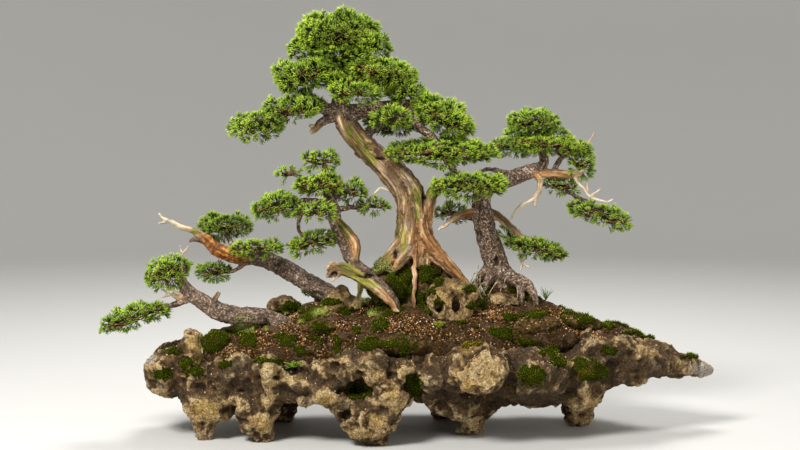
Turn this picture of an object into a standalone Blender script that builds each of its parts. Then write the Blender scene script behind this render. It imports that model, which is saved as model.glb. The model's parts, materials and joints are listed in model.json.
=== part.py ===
"""A planting of five junipers on one weathered limestone slab, their roots clasping rock and soil.

Metres, +Z up, front towards -Y. The origin is the centre of the planting's outline as seen from above,
on the surface that its stone feet stand on.
"""

import math
import random

import bmesh
import bpy
from mathutils import Matrix, Vector, noise
from mathutils.bvhtree import BVHTree

MM = 0.001

# Driving dimensions, in millimetres
SEAT_GAP = 0.6              # how far a piece is cut back from what carries it
SLEEVE_GAP = 0.9            # the same round a tree's wood
ROCK_VOXEL = 8.0            # grain at which the slab's lumps melt together
SPRAY_LENGTH = 14.0         # a spray of juniper scales, from the pad's core to its tip
FULLNESS = 1.07             # how far past a pad's mean outline its longest sprays reach
SPRAY_AREA = 92.0           # square millimetres of the core that each spray covers
SPRAY_CLEAR = 1.2           # least distance from a spray to any other piece
SPRAY_RANGE = (0.75, 1.15)  # shortest and longest spray, as shares of SPRAY_LENGTH
UNDERSIDE_SHARE = 0.6       # how much of its length a spray under a pad has
CORE_SHARE = 0.42           # least share of a pad that its core takes
LEAST_POINTS = 12           # corners on the smallest core
ROUTE_STEP = 26.0           # length of a facet along a limb
SOIL_FLOOR = 100.0          # flat bottom of the hollow in the slab that holds the soil
SOFT_EDGE = math.radians(38)  # wood and stone are shaded smooth over edges blunter than this
SEED = 7

planting = bpy.data.collections.new("root_over_rock_planting")
helpers = bpy.data.collections.new("cutters")


def start_scene():
    for obj in list(bpy.data.objects):
        bpy.data.objects.remove(obj)
    for collection in (planting, helpers):
        bpy.context.scene.collection.children.link(collection)


def material(name, colour, roughness=0.9):
    """A Principled finish in linear colour."""
    made = bpy.data.materials.new(name)
    made.use_nodes = True
    shader = made.node_tree.nodes["Principled BSDF"]
    shader.inputs["Base Color"].default_value = (*colour, 1.0)
    shader.inputs["Roughness"].default_value = roughness
    return made


# Helpers that shape meshes

def link(name, mesh, finish=None, collection=None):
    obj = bpy.data.objects.new(name, mesh)
    (collection or planting).objects.link(obj)
    if finish:
        mesh.materials.clear()
        mesh.materials.append(finish)
    return obj


def hide(obj):
    """A cutter or guide: drawn as wire, and no part of the planting."""
    obj.hide_render = True
    obj.display_type = "WIRE"
    return obj


def mesh_of(obj):
    """A plain mesh of the object as its modifiers leave it."""
    bpy.context.view_layer.update()
    return bpy.data.meshes.new_from_object(obj.evaluated_get(bpy.context.evaluated_depsgraph_get()))


def settle(obj):
    """Replaces the object's mesh by what its modifiers make of it."""
    mesh = mesh_of(obj)
    obj.modifiers.clear()
    obj.data = mesh
    return obj


def add(obj, kind, **settings):
    modifier = obj.modifiers.new(kind.title(), kind)
    for name, value in settings.items():
        setattr(modifier, name, value)
    return modifier


def shade(obj):
    """Rounds the look of wood and stone, with their sharper edges kept."""
    obj.data.shade_smooth()
    obj.data.set_sharp_from_angle(angle=SOFT_EDGE)
    return obj


def keep_largest(obj):
    """Drops the loose scraps that a cut leaves, and any sealed hollow."""
    bm = bmesh.new()
    bm.from_mesh(obj.data)
    seen, islands = set(), []
    for face in bm.faces:
        if face.index in seen:
            continue
        seen.add(face.index)
        island, front = [], [face]
        while front:
            here = front.pop()
            island.append(here)
            for edge in here.edges:
                for other in edge.link_faces:
                    if other.index not in seen:
                        seen.add(other.index)
                        front.append(other)
        islands.append(island)
    islands.sort(key=lambda faces: sum(face.calc_area() for face in faces))
    for island in islands[:-1]:
        bmesh.ops.delete(bm, geom=island, context="FACES")
    bm.to_mesh(obj.data)
    bm.free()
    return obj


def room(obj):
    """Cutters for the room an object takes: a copy a hair proud of it, and a plain one for its sharp creases."""
    proud, plain = [hide(link(obj.name + "_room", obj.data.copy(), collection=helpers)) for _ in range(2)]
    add(proud, "DISPLACE", strength=SEAT_GAP * MM, mid_level=0.0, direction="NORMAL")
    return [settle(proud), plain]


def seat(obj, cutters):
    """Cuts the object back from what carries it, or from what stands in it."""
    for cutter in cutters:
        add(obj, "BOOLEAN", object=cutter, operation="DIFFERENCE", solver="MANIFOLD")
        settle(obj)
    return keep_largest(obj)


def fuse(name, pieces, finish):
    """Joins overlapping closed pieces in one body."""
    group = bpy.data.collections.new(name + "_pieces")
    helpers.children.link(group)
    for piece in pieces[1:]:
        for holder in piece.users_collection:
            holder.objects.unlink(piece)
        group.objects.link(piece)
    body = pieces[0]
    body.name = name
    if pieces[1:]:
        add(body, "BOOLEAN", operand_type="COLLECTION", collection=group, operation="UNION", solver="MANIFOLD")
        settle(body)
    for piece in pieces[1:]:
        bpy.data.objects.remove(piece)
    bpy.data.collections.remove(group)
    body.data.materials.clear()
    body.data.materials.append(finish)
    return keep_largest(body)


# Rock, stones, soil and moss

def lump(bm, x, y, z, rx, ry, rz, lean=0.0, facets=3):
    """One rounded lump. lean raises its +X end, in degrees."""
    place = Matrix.Translation(Vector((x, y, z)) * MM) @ Matrix.Rotation(math.radians(-lean), 4, "Y")
    shape = Matrix.Diagonal((rx * MM, ry * MM, rz * MM, 1.0))
    bmesh.ops.create_icosphere(bm, subdivisions=facets, radius=1.0, matrix=place @ shape)


def lumps_object(name, lumps, collection):
    bm = bmesh.new()
    for values in lumps:
        lump(bm, *values)
    mesh = bpy.data.meshes.new(name)
    bm.to_mesh(mesh)
    bm.free()
    return link(name, mesh, collection=collection)


def crag_texture(name, kind, scale):
    texture = bpy.data.textures.new(name, kind)
    texture.noise_scale = scale * MM
    return texture


def stone(name, lumps, hollows, voxel, swell, pit, triangles, finish):
    """Lumps melted together, hollowed, weathered, and brought down to few faces."""
    body = lumps_object(name, lumps, planting)
    add(body, "REMESH", mode="VOXEL", voxel_size=voxel * MM)
    settle(body)
    if hollows:
        cutter = hide(lumps_object("hollows", hollows, helpers))
        add(cutter, "REMESH", mode="VOXEL", voxel_size=voxel * MM)
        settle(cutter)
        add(body, "BOOLEAN", object=cutter, operation="DIFFERENCE", solver="MANIFOLD")
        settle(body)
        bpy.data.objects.remove(cutter)
    swell_size, swell_height = swell
    pit_size, pit_depth = pit
    add(body, "DISPLACE", texture=crag_texture(name + "_swell", "CLOUDS", swell_size), texture_coords="LOCAL",
        strength=swell_height * MM, mid_level=0.5)
    add(body, "DISPLACE", texture=crag_texture(name + "_pit", "VORONOI", pit_size), texture_coords="LOCAL",
        strength=pit_depth * MM, mid_level=0.5)
    add(body, "REMESH", mode="VOXEL", voxel_size=voxel * MM)
    settle(body)
    share = triangles / (2 * len(body.data.polygons))
    add(body, "DECIMATE", ratio=min(1.0, share))
    add(body, "TRIANGULATE")
    settle(body)
    body.data.materials.clear()
    body.data.materials.append(finish)
    return keep_largest(body)


def cut_level(body, height=0.0):
    """Takes off what lies below a height, which leaves a flat underside there."""
    bm = bmesh.new()
    block = Matrix.Translation((0, 0, height * MM - 0.5)) @ Matrix.Diagonal((2, 2, 1, 1))
    bmesh.ops.create_cube(bm, size=1.0, matrix=block)
    mesh = bpy.data.meshes.new("level")
    bm.to_mesh(mesh)
    bm.free()
    cutter = hide(link("level", mesh, collection=helpers))
    add(body, "BOOLEAN", object=cutter, operation="DIFFERENCE", solver="EXACT")
    settle(body)
    bpy.data.objects.remove(cutter)
    return keep_largest(body)


# Wood

def smooth_route(points):
    """Points every few millimetres on a Catmull-Rom curve through (x, y, z, radius)."""
    ends = [points[0], *points, points[-1]]
    route = []
    for before, start, stop, after in zip(ends, ends[1:], ends[2:], ends[3:]):
        span = math.dist(start[:3], stop[:3])
        steps = max(1, round(span / max(ROUTE_STEP, 0.75 * min(start[3], stop[3]))))
        for step in range(steps):
            t = step / steps
            route.append([
                0.5 * (2 * b + (c - a) * t + (2 * a - 5 * b + 4 * c - d) * t * t + (3 * b - a - 3 * c + d) * t ** 3)
                for a, b, c, d in zip(before, start, stop, after)])
    route.append(list(points[-1]))
    return route


def fluted_profile(sides, flutes, depth):
    """A closed outline of unit millimetre radius whose ridges give old wood its flutes."""
    curve = bpy.data.curves.new("profile", "CURVE")
    line = curve.splines.new("POLY")
    line.points.add(sides - 1)
    for index, point in enumerate(line.points):
        angle = 2 * math.pi * index / sides
        reach = MM * (1 + depth * math.cos(flutes * angle) + 0.4 * depth * math.cos((flutes + 2) * angle + 1))
        point.co = (reach * math.cos(angle), reach * math.sin(angle), 0, 1)
    line.use_cyclic_u = True
    return hide(link("profile", curve, collection=helpers))


def lengthened(route, grow):
    """The route with both ends pushed out and its radius widened by grow."""
    for end, inner in ((0, 1), (-1, -2)):
        outward = (Vector(route[end][:3]) - Vector(route[inner][:3])).normalized() * grow
        route[end][:3] = [value + step for value, step in zip(route[end][:3], outward)]
    return [(x, y, z, radius + grow) for x, y, z, radius in route]


def limb(points, sides=6, flutes=0, depth=0.0, twist=0.0, grow=0.0):
    """A tapering tube along a route. twist turns its flutes by so many degrees along its length."""
    curve = bpy.data.curves.new("limb", "CURVE")
    curve.dimensions = "3D"
    route = lengthened(smooth_route(points), grow)
    line = curve.splines.new("POLY")
    line.points.add(len(route) - 1)
    for index, (point, (x, y, z, radius)) in enumerate(zip(line.points, route)):
        point.co = (x * MM, y * MM, z * MM, 1)
        point.radius = radius
        point.tilt = math.radians(twist) * index / len(route)
    curve.use_fill_caps = True
    profile = fluted_profile(sides, flutes, depth)
    curve.bevel_mode = "OBJECT"
    curve.bevel_object = profile
    obj = link("limb", curve, collection=helpers)
    mesh = mesh_of(obj)
    bpy.data.objects.remove(obj)
    bpy.data.objects.remove(profile)
    bm = bmesh.new()
    bm.from_mesh(mesh)
    bmesh.ops.remove_doubles(bm, verts=bm.verts, dist=0.01 * MM)
    bmesh.ops.recalc_face_normals(bm, faces=bm.faces)
    bm.to_mesh(mesh)
    bm.free()
    return link("limb", mesh)


def tree(name, trunk, limbs, finish, sides=8, flutes=3, depth=0.1, twist=60.0, grow=0.0):
    """A trunk and what grows from it, in one piece of wood. grow thickens it all over."""
    pieces = [limb(trunk, sides, flutes, depth, twist, grow)]
    for route in limbs:
        thickest = max(point[3] for point in route)
        pieces.append(limb(route, sides=6 if thickest > 7.5 else 5 if thickest > 5.2 else 4, grow=grow))
    return fuse(name, pieces, finish)


def sleeve_of(*values, **settings):
    """The room a tree takes, with clearance, as a cutter."""
    name, *shape = values
    sleeve = tree(name + "_room", *shape, grow=SLEEVE_GAP, **settings)
    planting.objects.unlink(sleeve)
    helpers.objects.link(sleeve)
    return hide(sleeve)


# Foliage

def surface(obj):
    """A tree of the object's triangles, for measuring distances to it."""
    obj.data.calc_loop_triangles()
    points = [vertex.co for vertex in obj.data.vertices]
    return BVHTree.FromPolygons(points, [tuple(face.vertices) for face in obj.data.loop_triangles])


def golden_points(count):
    """Points spread evenly over a unit sphere."""
    for index in range(count):
        height = 1 - 2 * (index + 0.5) / count
        ring = math.sqrt(1 - height * height)
        turn = index * math.pi * (3 - math.sqrt(5))
        yield Vector((ring * math.cos(turn), ring * math.sin(turn), height))


def pad_core(name, x, y, z, rx, ry, rz, lean, draw):
    """The slim mass inside a pad of foliage: a facet for each spray that will stand on it."""
    reach = Vector([max(CORE_SHARE * r, FULLNESS * r - SPRAY_LENGTH) for r in (rx, ry, rz)])
    # An ellipsoid's surface is close to 4 pi times this mean of its sections, raised to the power 1.6
    sections = (reach.x * reach.y, reach.x * reach.z, reach.y * reach.z)
    area = 4 * math.pi * (sum(section ** 1.6 for section in sections) / 3) ** (1 / 1.6)
    count = max(LEAST_POINTS, round(area / SPRAY_AREA / 2) + 2)
    place = Matrix.Translation(Vector((x, y, z)) * MM) @ Matrix.Rotation(math.radians(-lean), 4, "Y")
    if abs(rx - ry) < 0.2 * rx:
        place = place @ Matrix.Rotation(draw.uniform(0, math.pi), 4, "Z")
    bm = bmesh.new()
    for point in golden_points(count):
        bulge = 1 + 0.12 * noise.noise(Vector((x, y, z)) * 0.13 + point * 1.7)
        bm.verts.new(place @ (point * reach * bulge * MM))
    hull = bmesh.ops.convex_hull(bm, input=bm.verts)
    bmesh.ops.delete(bm, geom=list(set(hull["geom_interior"] + hull["geom_unused"])), context="VERTS")
    bmesh.ops.recalc_face_normals(bm, faces=bm.faces)
    mesh = bpy.data.meshes.new(name)
    bm.to_mesh(mesh)
    bm.free()
    return link(name, mesh)


def is_clear(base, tip, others):
    """True if a spray with this base and tip keeps its distance from every other piece."""
    points = [corner.lerp(tip, share) for corner in base for share in (0.3, 0.6, 0.85)] + [tip]
    return all(other.find_nearest(point, SPRAY_CLEAR * MM)[0] is None for point in points for other in others)


def dress_pad(pad, others, draw):
    """Raises a pointed spray from every facet of the pad, shorter where another piece is near."""
    bm = bmesh.new()
    bm.from_mesh(pad.data)
    centre = sum((vertex.co for vertex in bm.verts), Vector()) / len(bm.verts)
    faces = sorted(bm.faces, key=lambda face: face.index)
    tips = []
    for face in faces:
        base = [vertex.co.copy() for vertex in face.verts]
        middle = face.calc_center_median()
        outward = (middle - centre).normalized()
        jitter = Vector([draw.uniform(-1, 1) for _ in range(3)])
        direction = (face.normal * 1.5 + 0.5 * outward + Vector((0, 0, 0.25)) + 0.3 * jitter).normalized()
        length = SPRAY_LENGTH * draw.uniform(*SPRAY_RANGE) * MM
        if face.normal.z <= -0.5:
            length *= UNDERSIDE_SHARE
        for share in (1.0, 0.7, 0.4, 0.15):
            tip = middle + direction * length * share
            if is_clear(base, tip, others):
                break
        else:
            tip = middle
        tips.append(tip)
    poked = bmesh.ops.poke(bm, faces=faces)
    for vertex, tip in zip(poked["verts"], tips):
        vertex.co = tip
    bm.to_mesh(pad.data)
    bm.free()
    return pad


def spike(root, direction, length, radius):
    """One blade: a slim three-sided spike."""
    bm = bmesh.new()
    turn = direction.to_track_quat("Z", "Y").to_matrix().to_4x4()
    place = Matrix.Translation(root) @ turn @ Matrix.Translation((0, 0, length * MM / 2))
    bmesh.ops.create_cone(bm, cap_ends=True, segments=3, radius1=radius * MM, radius2=0.0,
                          depth=length * MM, matrix=place)
    mesh = bpy.data.meshes.new("spike")
    bm.to_mesh(mesh)
    bm.free()
    return link("spike", mesh)


def tuft(name, x, y, z, blades, length, radius, spread, finish, draw):
    """Grass-like blades that lean out of one small crown."""
    bm = bmesh.new()
    lump(bm, x, y, z, 0.45 * spread, 0.4 * spread, 3.0, 0, 1)
    mesh = bpy.data.meshes.new(name)
    bm.to_mesh(mesh)
    bm.free()
    pieces = [link(name, mesh)]
    for index in range(blades):
        turn = 2 * math.pi * index / blades
        lean = draw.uniform(0.15, 0.6)
        direction = Vector((lean * math.cos(turn), lean * math.sin(turn), 1)).normalized()
        root = Vector((x + 0.25 * spread * math.cos(turn), y + 0.25 * spread * math.sin(turn), z)) * MM
        pieces.append(spike(root, direction, length * draw.uniform(0.6, 1.0), radius))
    return fuse(name, pieces, finish)


# The planting's pieces: each lump is (x, y, z, half width, half depth, half height, lean)

SLAB_LUMPS = [
    (-60, 0, 84, 215, 112, 40, 0), (-215, -5, 82, 112, 84, 34, 0), (150, 5, 84, 165, 98, 38, 0),
    (-300, -22, 82, 36, 56, 32, 0), (-268, -42, 110, 24, 26, 20, 0), (-205, -62, 84, 48, 32, 32, 0),
    (-248, -64, 50, 34, 26, 26, 0), (-256, -62, 16, 14, 14, 26, 0), (-187, -72, 42, 27, 24, 42, 0),
    (-182, -72, 10, 18, 16, 18, 0), (-160, -92, 86, 16, 16, 38, 30), (-122, -90, 76, 40, 24, 24, 0),
    (-96, -98, 60, 18, 16, 16, 0), (-45, -104, 102, 54, 24, 20, 0), (-8, -108, 90, 19, 18, 28, 0),
    (-24, -102, 62, 24, 22, 36, 0), (-42, -96, 30, 40, 28, 24, 0), (-34, -90, 6, 15, 15, 14, 0),
    (-80, -102, 72, 13, 16, 30, 0), (30, -84, 88, 46, 30, 32, 0), (52, -62, 52, 46, 26, 20, -18),
    (92, -26, 22, 20, 18, 34, -30), (92, -112, 98, 37, 27, 31, 0), (158, -86, 88, 54, 32, 30, 0),
    (165, -30, 58, 66, 50, 22, 0), (226, -40, 74, 34, 32, 40, 0), (232, 24, 30, 24, 24, 40, 0),
    (285, -28, 92, 48, 40, 26, -6), (336, 0, 88, 50, 34, 18, -8), (386, 14, 80, 30, 17, 12, -10),
    (255, -44, 110, 50, 38, 24, 0), (302, -4, 108, 42, 35, 16, -12), (-200, 44, 80, 96, 52, 34, 0),
    (0, 62, 84, 170, 54, 36, 0), (180, 52, 84, 116, 52, 34, 0), (-170, 58, 28, 32, 28, 38, 0),
    (62, 74, 28, 34, 30, 38, 0),
]
SLAB_HOLLOWS = [
    (-60, -118, 68, 17, 24, 15, 0), (17, -116, 70, 17, 18, 15, 0), (-140, -112, 98, 13, 14, 12, 20),
    (100, -60, 30, 26, 22, 12, 0), (200, -96, 58, 20, 22, 12, 0),
]
SOIL_LUMPS = [
    (6, 5, 112, 190, 104, 60, 0), (122, 16, 124, 108, 80, 57, 0), (-135, -8, 108, 128, 88, 42, 0),
    (252, 8, 108, 84, 54, 34, -8), (-236, -25, 98, 58, 50, 26, 10), (-100, 2, 130, 60, 50, 40, 0),
]
ROOT_STONE = [(14, 6, 166, 44, 36, 46, 0), (-14, 4, 168, 30, 26, 36, 0), (46, 0, 168, 32, 30, 36, -20),
              (24, -16, 176, 14, 18, 34, 0)]
PIERCED_STONE = [(47, -56, 172, 19, 13, 32, 0), (64, -54, 192, 24, 12, 12, -12), (79, -54, 170, 9, 10, 24, 0),
                 (88, -54, 184, 8, 9, 10, 0), (60, -52, 154, 22, 14, 10, 0)]
PIERCED_HOLES = [(43, -56, 168, 6.5, 30, 7.5, 0), (64, -56, 170, 6.5, 30, 11, 0)]
LEFT_STONE = [(-162, -4, 164, 20, 13, 12, 20), (-148, -2, 162, 15, 12, 10, 0)]
MIDDLE_STONE = [(-88, -34, 170, 16, 13, 14, 0), (-80, -32, 182, 12, 10, 12, 0), (-66, -30, 168, 14, 12, 10, 0),
                (-97, -36, 160, 12, 11, 12, 0)]
RIGHT_STONE = [(122, -24, 172, 13, 11, 11, 0), (137, -22, 166, 13, 11, 11, -20)]
# Lumps, holes, grain, (size, height) of its swells and of its pits, and its count of triangles
STONES = {
    "root_stone": (ROOT_STONE, [], 3.5, (20, 7), (12, 4), 260),
    "pierced_stone": (PIERCED_STONE, PIERCED_HOLES, 2.5, (12, 3), (9, 2), 300),
    "left_stone": (LEFT_STONE, [], 3.5, (12, 4), (8, 3), 110),
    "middle_stone": (MIDDLE_STONE, [], 3.5, (12, 4), (8, 3), 110),
    "right_stone": (RIGHT_STONE, [], 3.5, (12, 4), (8, 3), 110),
}
MOSS = {
    "moss_left_cushion": (-238, -54, 120, 23, 18, 16, 0),
    "moss_left_edge": (-266, -64, 96, 24, 15, 14, 25),
    "moss_front_band": (-14, -100, 126, 46, 15, 13, 0),
    "moss_centre_slope": (-110, -62, 142, 28, 20, 12, 5),
    "moss_right_slope": (168, -56, 146, 34, 20, 14, 12),
    "moss_right_cushion": (224, -76, 90, 33, 16, 17, 0),
    "moss_front_cushion": (156, -114, 92, 20, 13, 14, 0),
    "moss_crest": (224, -6, 142, 38, 28, 13, -10),
    "moss_root_mound": (-24, -28, 186, 26, 20, 20, 0),
}

# Each plant is (x, y, z, blades, length, radius, width of its crown)
TUFTS = {
    "grass_tuft": (186, 14, 170, 9, 22, 1.3, 14),
    "yellow_herb": (43, -78, 146, 5, 13, 2.2, 12),
    "small_fern": (-137, -100, 99, 5, 13, 1.8, 9),
}

# Each limb is a list of (x, y, z, radius)
MAIN_TRUNK = [(12, 8, 204, 30), (12, 8, 218, 29), (12, 8, 241, 24.5), (11, 8, 281, 21.5), (4, 10, 313, 20),
              (-9, 14, 339, 18.5), (-34, 18, 365, 17), (-57, 16, 390, 15), (-76, 12, 414, 13.5),
              (-82, 12, 438, 10), (-78, 12, 462, 7), (-77, 12, 488, 5), (-80, 12, 514, 3)]
MAIN_LIMBS = [
    [(2, 6, 262, 13), (-13, 0, 236, 12.5), (-30, -7, 216, 10), (-45, -10, 203, 7), (-55, -12, 186, 4)],
    [(10, -6, 250, 14), (2, -12, 232, 12), (-10, -22, 216, 7.5), (-18, -28, 209, 4)],
    [(12, -4, 240, 8), (12, -20, 218, 5), (13, -30, 198, 3.4), (12, -38, 178, 3), (12, -44, 160, 2.6)],
    [(16, 2, 262, 14), (34, -3, 238, 13.5), (54, -12, 217, 11), (72, -19, 201, 8), (84, -24, 188, 5.5),
     (90, -27, 174, 4)],
    [(10, 14, 250, 13), (8, 30, 228, 11), (0, 44, 206, 8), (-8, 52, 184, 5), (-12, 56, 166, 3.5)],
    [(14, 12, 244, 12), (36, 26, 222, 10), (52, 38, 200, 7), (60, 46, 178, 4.5)],
    [(18, 4, 250, 9), (27, 4, 270, 9), (33, 2, 290, 8), (38, -4, 310, 7.5), (50, -13, 321, 6), (68, -22, 323, 4)],
    [(-70, 12, 408, 10), (-99, 6, 419, 8), (-119, -2, 419, 6.5), (-147, -8, 415, 5), (-176, -13, 405, 4),
     (-196, -15, 396, 3)],
    [(-84, 12, 410, 7), (-104, 0, 403, 6), (-114, -6, 394, 4.5), (-124, -8, 396, 2.2)],
    [(-72, 14, 412, 11), (-42, 16, 417, 10), (-19, 12, 420, 9), (1, 4, 424, 7), (14, 0, 413, 6.5),
     (18, -4, 396, 6), (37, -8, 381, 5.5), (50, -14, 360, 5), (67, -24, 336, 4), (80, -31, 324, 2.8)],
    [(-79, 12, 450, 6), (-100, 8, 460, 4), (-126, 4, 467, 2.6)],
    [(-79, 12, 450, 6), (-57, 6, 461, 4), (-36, 0, 469, 2.6)],
    [(-80, 12, 434, 6), (-71, -10, 438, 3.6), (-61, -32, 441, 2.4)],
    [(-24, 12, 419, 6), (-9, 10, 430, 3.6), (3, 6, 439, 2.4)],
    [(-2, 4, 422, 5.5), (24, 2, 420, 4.4), (47, 0, 413, 2.8)],
    [(12, 0, 416, 5), (-2, -18, 411, 3.2), (-15, -33, 407, 2.2)],
    [(42, -10, 372, 4.5), (66, -14, 366, 3.2), (92, -14, 364, 2)],
    [(-80, 12, 436, 6), (-70, 34, 449, 4), (-60, 54, 455, 2.4)],
    [(-50, 17, 384, 7), (-34, 44, 396, 4.6), (-12, 68, 401, 2.6)],
]
RIGHT_TRUNK = [(129, 24, 168, 19), (127, 24, 188, 17.5), (123, 22, 208, 16), (117, 20, 234, 14.5),
               (110, 20, 260, 13.5), (104, 21, 286, 13), (103, 26, 306, 12), (116, 30, 321, 11),
               (139, 30, 329, 10.5), (162, 26, 336, 9.5), (182, 22, 347, 6.5), (179, 26, 372, 4.6),
               (171, 30, 398, 2.8)]
RIGHT_LIMBS = [
    [(124, 20, 212, 12), (140, 4, 198, 9.5), (156, -5, 193, 8), (167, -11, 180, 5.5), (171, -14, 164, 3.5)],
    [(148, 0, 194, 6), (151, -12, 178, 4.2), (153, -16, 160, 3)],
    [(122, 18, 210, 11), (106, 6, 192, 7), (98, -2, 174, 4)],
    [(126, 26, 206, 12), (138, 44, 188, 8), (144, 58, 166, 4.5)],
    [(112, 24, 206, 11), (98, 38, 188, 7), (90, 48, 168, 4)],
    [(158, 26, 335, 8), (191, 20, 334, 6.2), (226, 14, 333, 4.2), (236, 14, 341, 2.6)],
    [(142, 29, 331, 5), (120, 26, 339, 3.4), (102, 22, 338, 3), (88, 14, 331, 1.8)],
    [(193, 20, 333, 4.4), (203, 20, 352, 3), (209, 18, 364, 2.2)],
    [(188, 21, 333, 4.6), (204, 34, 316, 3.6), (232, 38, 301, 3), (262, 34, 283, 2.4)],
    [(108, 20, 282, 7), (126, 16, 280, 6), (143, 12, 264, 5.4), (153, 10, 253, 4.4), (176, 8, 239, 2.8)],
    [(152, 10, 254, 3.6), (152, 6, 232, 3), (154, 4, 219, 2.3), (165, 2, 212, 1.3)],
    [(154, 4, 221, 2), (151, 2, 208, 1.3)],
    [(106, 22, 270, 6), (85, 42, 276, 3.6), (63, 58, 280, 2.4)],
    [(104, 20, 284, 7), (84, 12, 283, 5.2), (65, 8, 276, 4.4), (54, 4, 268, 3), (42, 0, 262, 1.6)],
    [(170, 25, 337, 6), (176, 10, 320, 5), (168, 4, 304, 4), (150, 0, 294, 3.2), (140, -2, 276, 1.5)],
    [(169, 5, 306, 3), (168, 2, 291, 1.6)],
    [(222, 15, 333, 3.6), (231, 10, 318, 2.7), (240, 8, 306, 2.4), (262, 6, 298, 2), (276, 6, 305, 1.2)],
    [(242, 8, 305, 2), (256, 2, 314, 1.3)],
    [(206, 18, 360, 2.6), (231, 16, 369, 2.2), (243, 14, 377, 1.8), (248, 12, 388, 1.2)],
    [(232, 14, 336, 2.6), (239, 11, 322, 1.8), (240, 10, 312, 1.2)],
    [(176, 27, 380, 4), (164, 52, 374, 3), (152, 74, 370, 2)],
]
CENTRE_TRUNK = [(-8, -42, 162, 5), (-15, -44, 180, 6), (-31, -42, 201, 7), (-49, -40, 215, 7.5), (-68, -38, 228, 9),
                (-75, -36, 245, 9.5), (-81, -34, 259, 9), (-88, -32, 274, 8.5), (-91, -30, 289, 8),
                (-95, -28, 307, 6.5), (-101, -28, 328, 4.6), (-103, -28, 351, 2.6)]
CENTRE_LIMBS = [
    [(-62, -42, 224, 6), (-58, -44, 238, 7), (-60, -44, 250, 7), (-70, -41, 264, 6.5), (-84, -36, 278, 5)],
    [(-8, -50, 160, 4), (-22, -52, 178, 6.5), (-40, -54, 194, 8.5), (-58, -52, 206, 9.5), (-76, -50, 215, 9.5),
     (-90, -50, 215, 8), (-99, -50, 211, 5)],
    [(-54, -52, 200, 5), (-57, -52, 185, 3.6), (-58, -52, 166, 3)],
    [(-96, -28, 312, 4.2), (-118, -29, 328, 3), (-140, -30, 334, 2), (-152, -30, 338, 1.5)],
    [(-94, -29, 302, 5), (-82, -24, 309, 3.2), (-67, -20, 313, 2)],
    [(-92, -30, 294, 6), (-118, -32, 301, 4.6), (-142, -34, 300, 3.4), (-161, -34, 294, 2.4)],
    [(-91, -31, 292, 5), (-103, -48, 293, 3), (-112, -60, 291, 2)],
    [(-90, -29, 288, 5), (-68, -20, 292, 3.2), (-43, -10, 293, 2)],
    [(-50, -13, 293, 2.2), (-43, -10, 304, 1.7), (-31, -10, 317, 1.4), (-22, -10, 314, 1)],
    [(-128, -33, 300, 4), (-134, -34, 281, 3.2), (-134, -32, 264, 2.6), (-122, -30, 249, 2)],
    [(-96, -27, 306, 4.4), (-101, -8, 313, 3), (-109, 10, 318, 2)],
]
LEFT_TRUNK = [(-90, 0, 158, 14), (-100, 0, 176, 14), (-114, 0, 187, 13.5), (-136, 4, 201, 12.5), (-163, 8, 217, 11.5),
              (-189, 8, 224, 10.5), (-217, 4, 227, 10), (-243, 0, 236, 9), (-258, 0, 249, 7.5), (-273, 0, 261, 5.5),
              (-297, 0, 271, 4), (-310, 0, 277, 2.8), (-320, 0, 270, 1.5)]
LEFT_LIMBS = [
    [(-309, 0, 276, 2.4), (-314, 0, 288, 1.3)],
    [(-254, 0, 246, 5), (-270, -4, 250, 3.6), (-280, -6, 246, 2)],
    [(-217, 4, 229, 6), (-228, 18, 244, 4), (-239, 29, 260, 2.4)],
    [(-189, 6, 228, 5.5), (-190, -8, 236, 3.4), (-191, -20, 240, 2.2)],
    [(-206, 5, 222, 5), (-216, 11, 211, 3), (-230, 16, 205, 2.4), (-247, 20, 203, 1.8)],
    [(-106, 0, 182, 11), (-88, -12, 174, 7), (-74, -14, 158, 4)],
    [(-108, 2, 182, 11), (-112, 22, 170, 7), (-116, 36, 154, 4)],
]
LOW_TRUNK = [(-138, -36, 132, 6), (-154, -40, 146, 8), (-182, -46, 157, 10), (-212, -50, 158, 11), (-237, -52, 164, 11.5),
             (-256, -52, 174, 10), (-273, -50, 186, 8.5), (-284, -47, 200, 7), (-291, -46, 211, 4.6),
             (-300, -48, 216, 3)]
LOW_LIMBS = [
    [(-266, -51, 182, 6), (-286, -51, 172, 4), (-306, -50, 167, 3), (-338, -50, 157, 2)],
    [(-268, -52, 184, 6), (-288, -54, 180, 4.2), (-300, -55, 184, 3), (-310, -55, 191, 1.5)],
    [(-298, -55, 182, 2.2), (-310, -56, 180, 1.3)],
    [(-289, -47, 206, 3.2), (-282, -50, 226, 2.2), (-284, -50, 247, 1.3)],
    [(-283, -50, 232, 1.8), (-273, -50, 246, 1.2)],
    [(-242, -52, 168, 5), (-238, -56, 184, 4.4)],
    [(-160, -42, 150, 7), (-166, -52, 140, 5), (-170, -58, 128, 3.5)],
]

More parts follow.
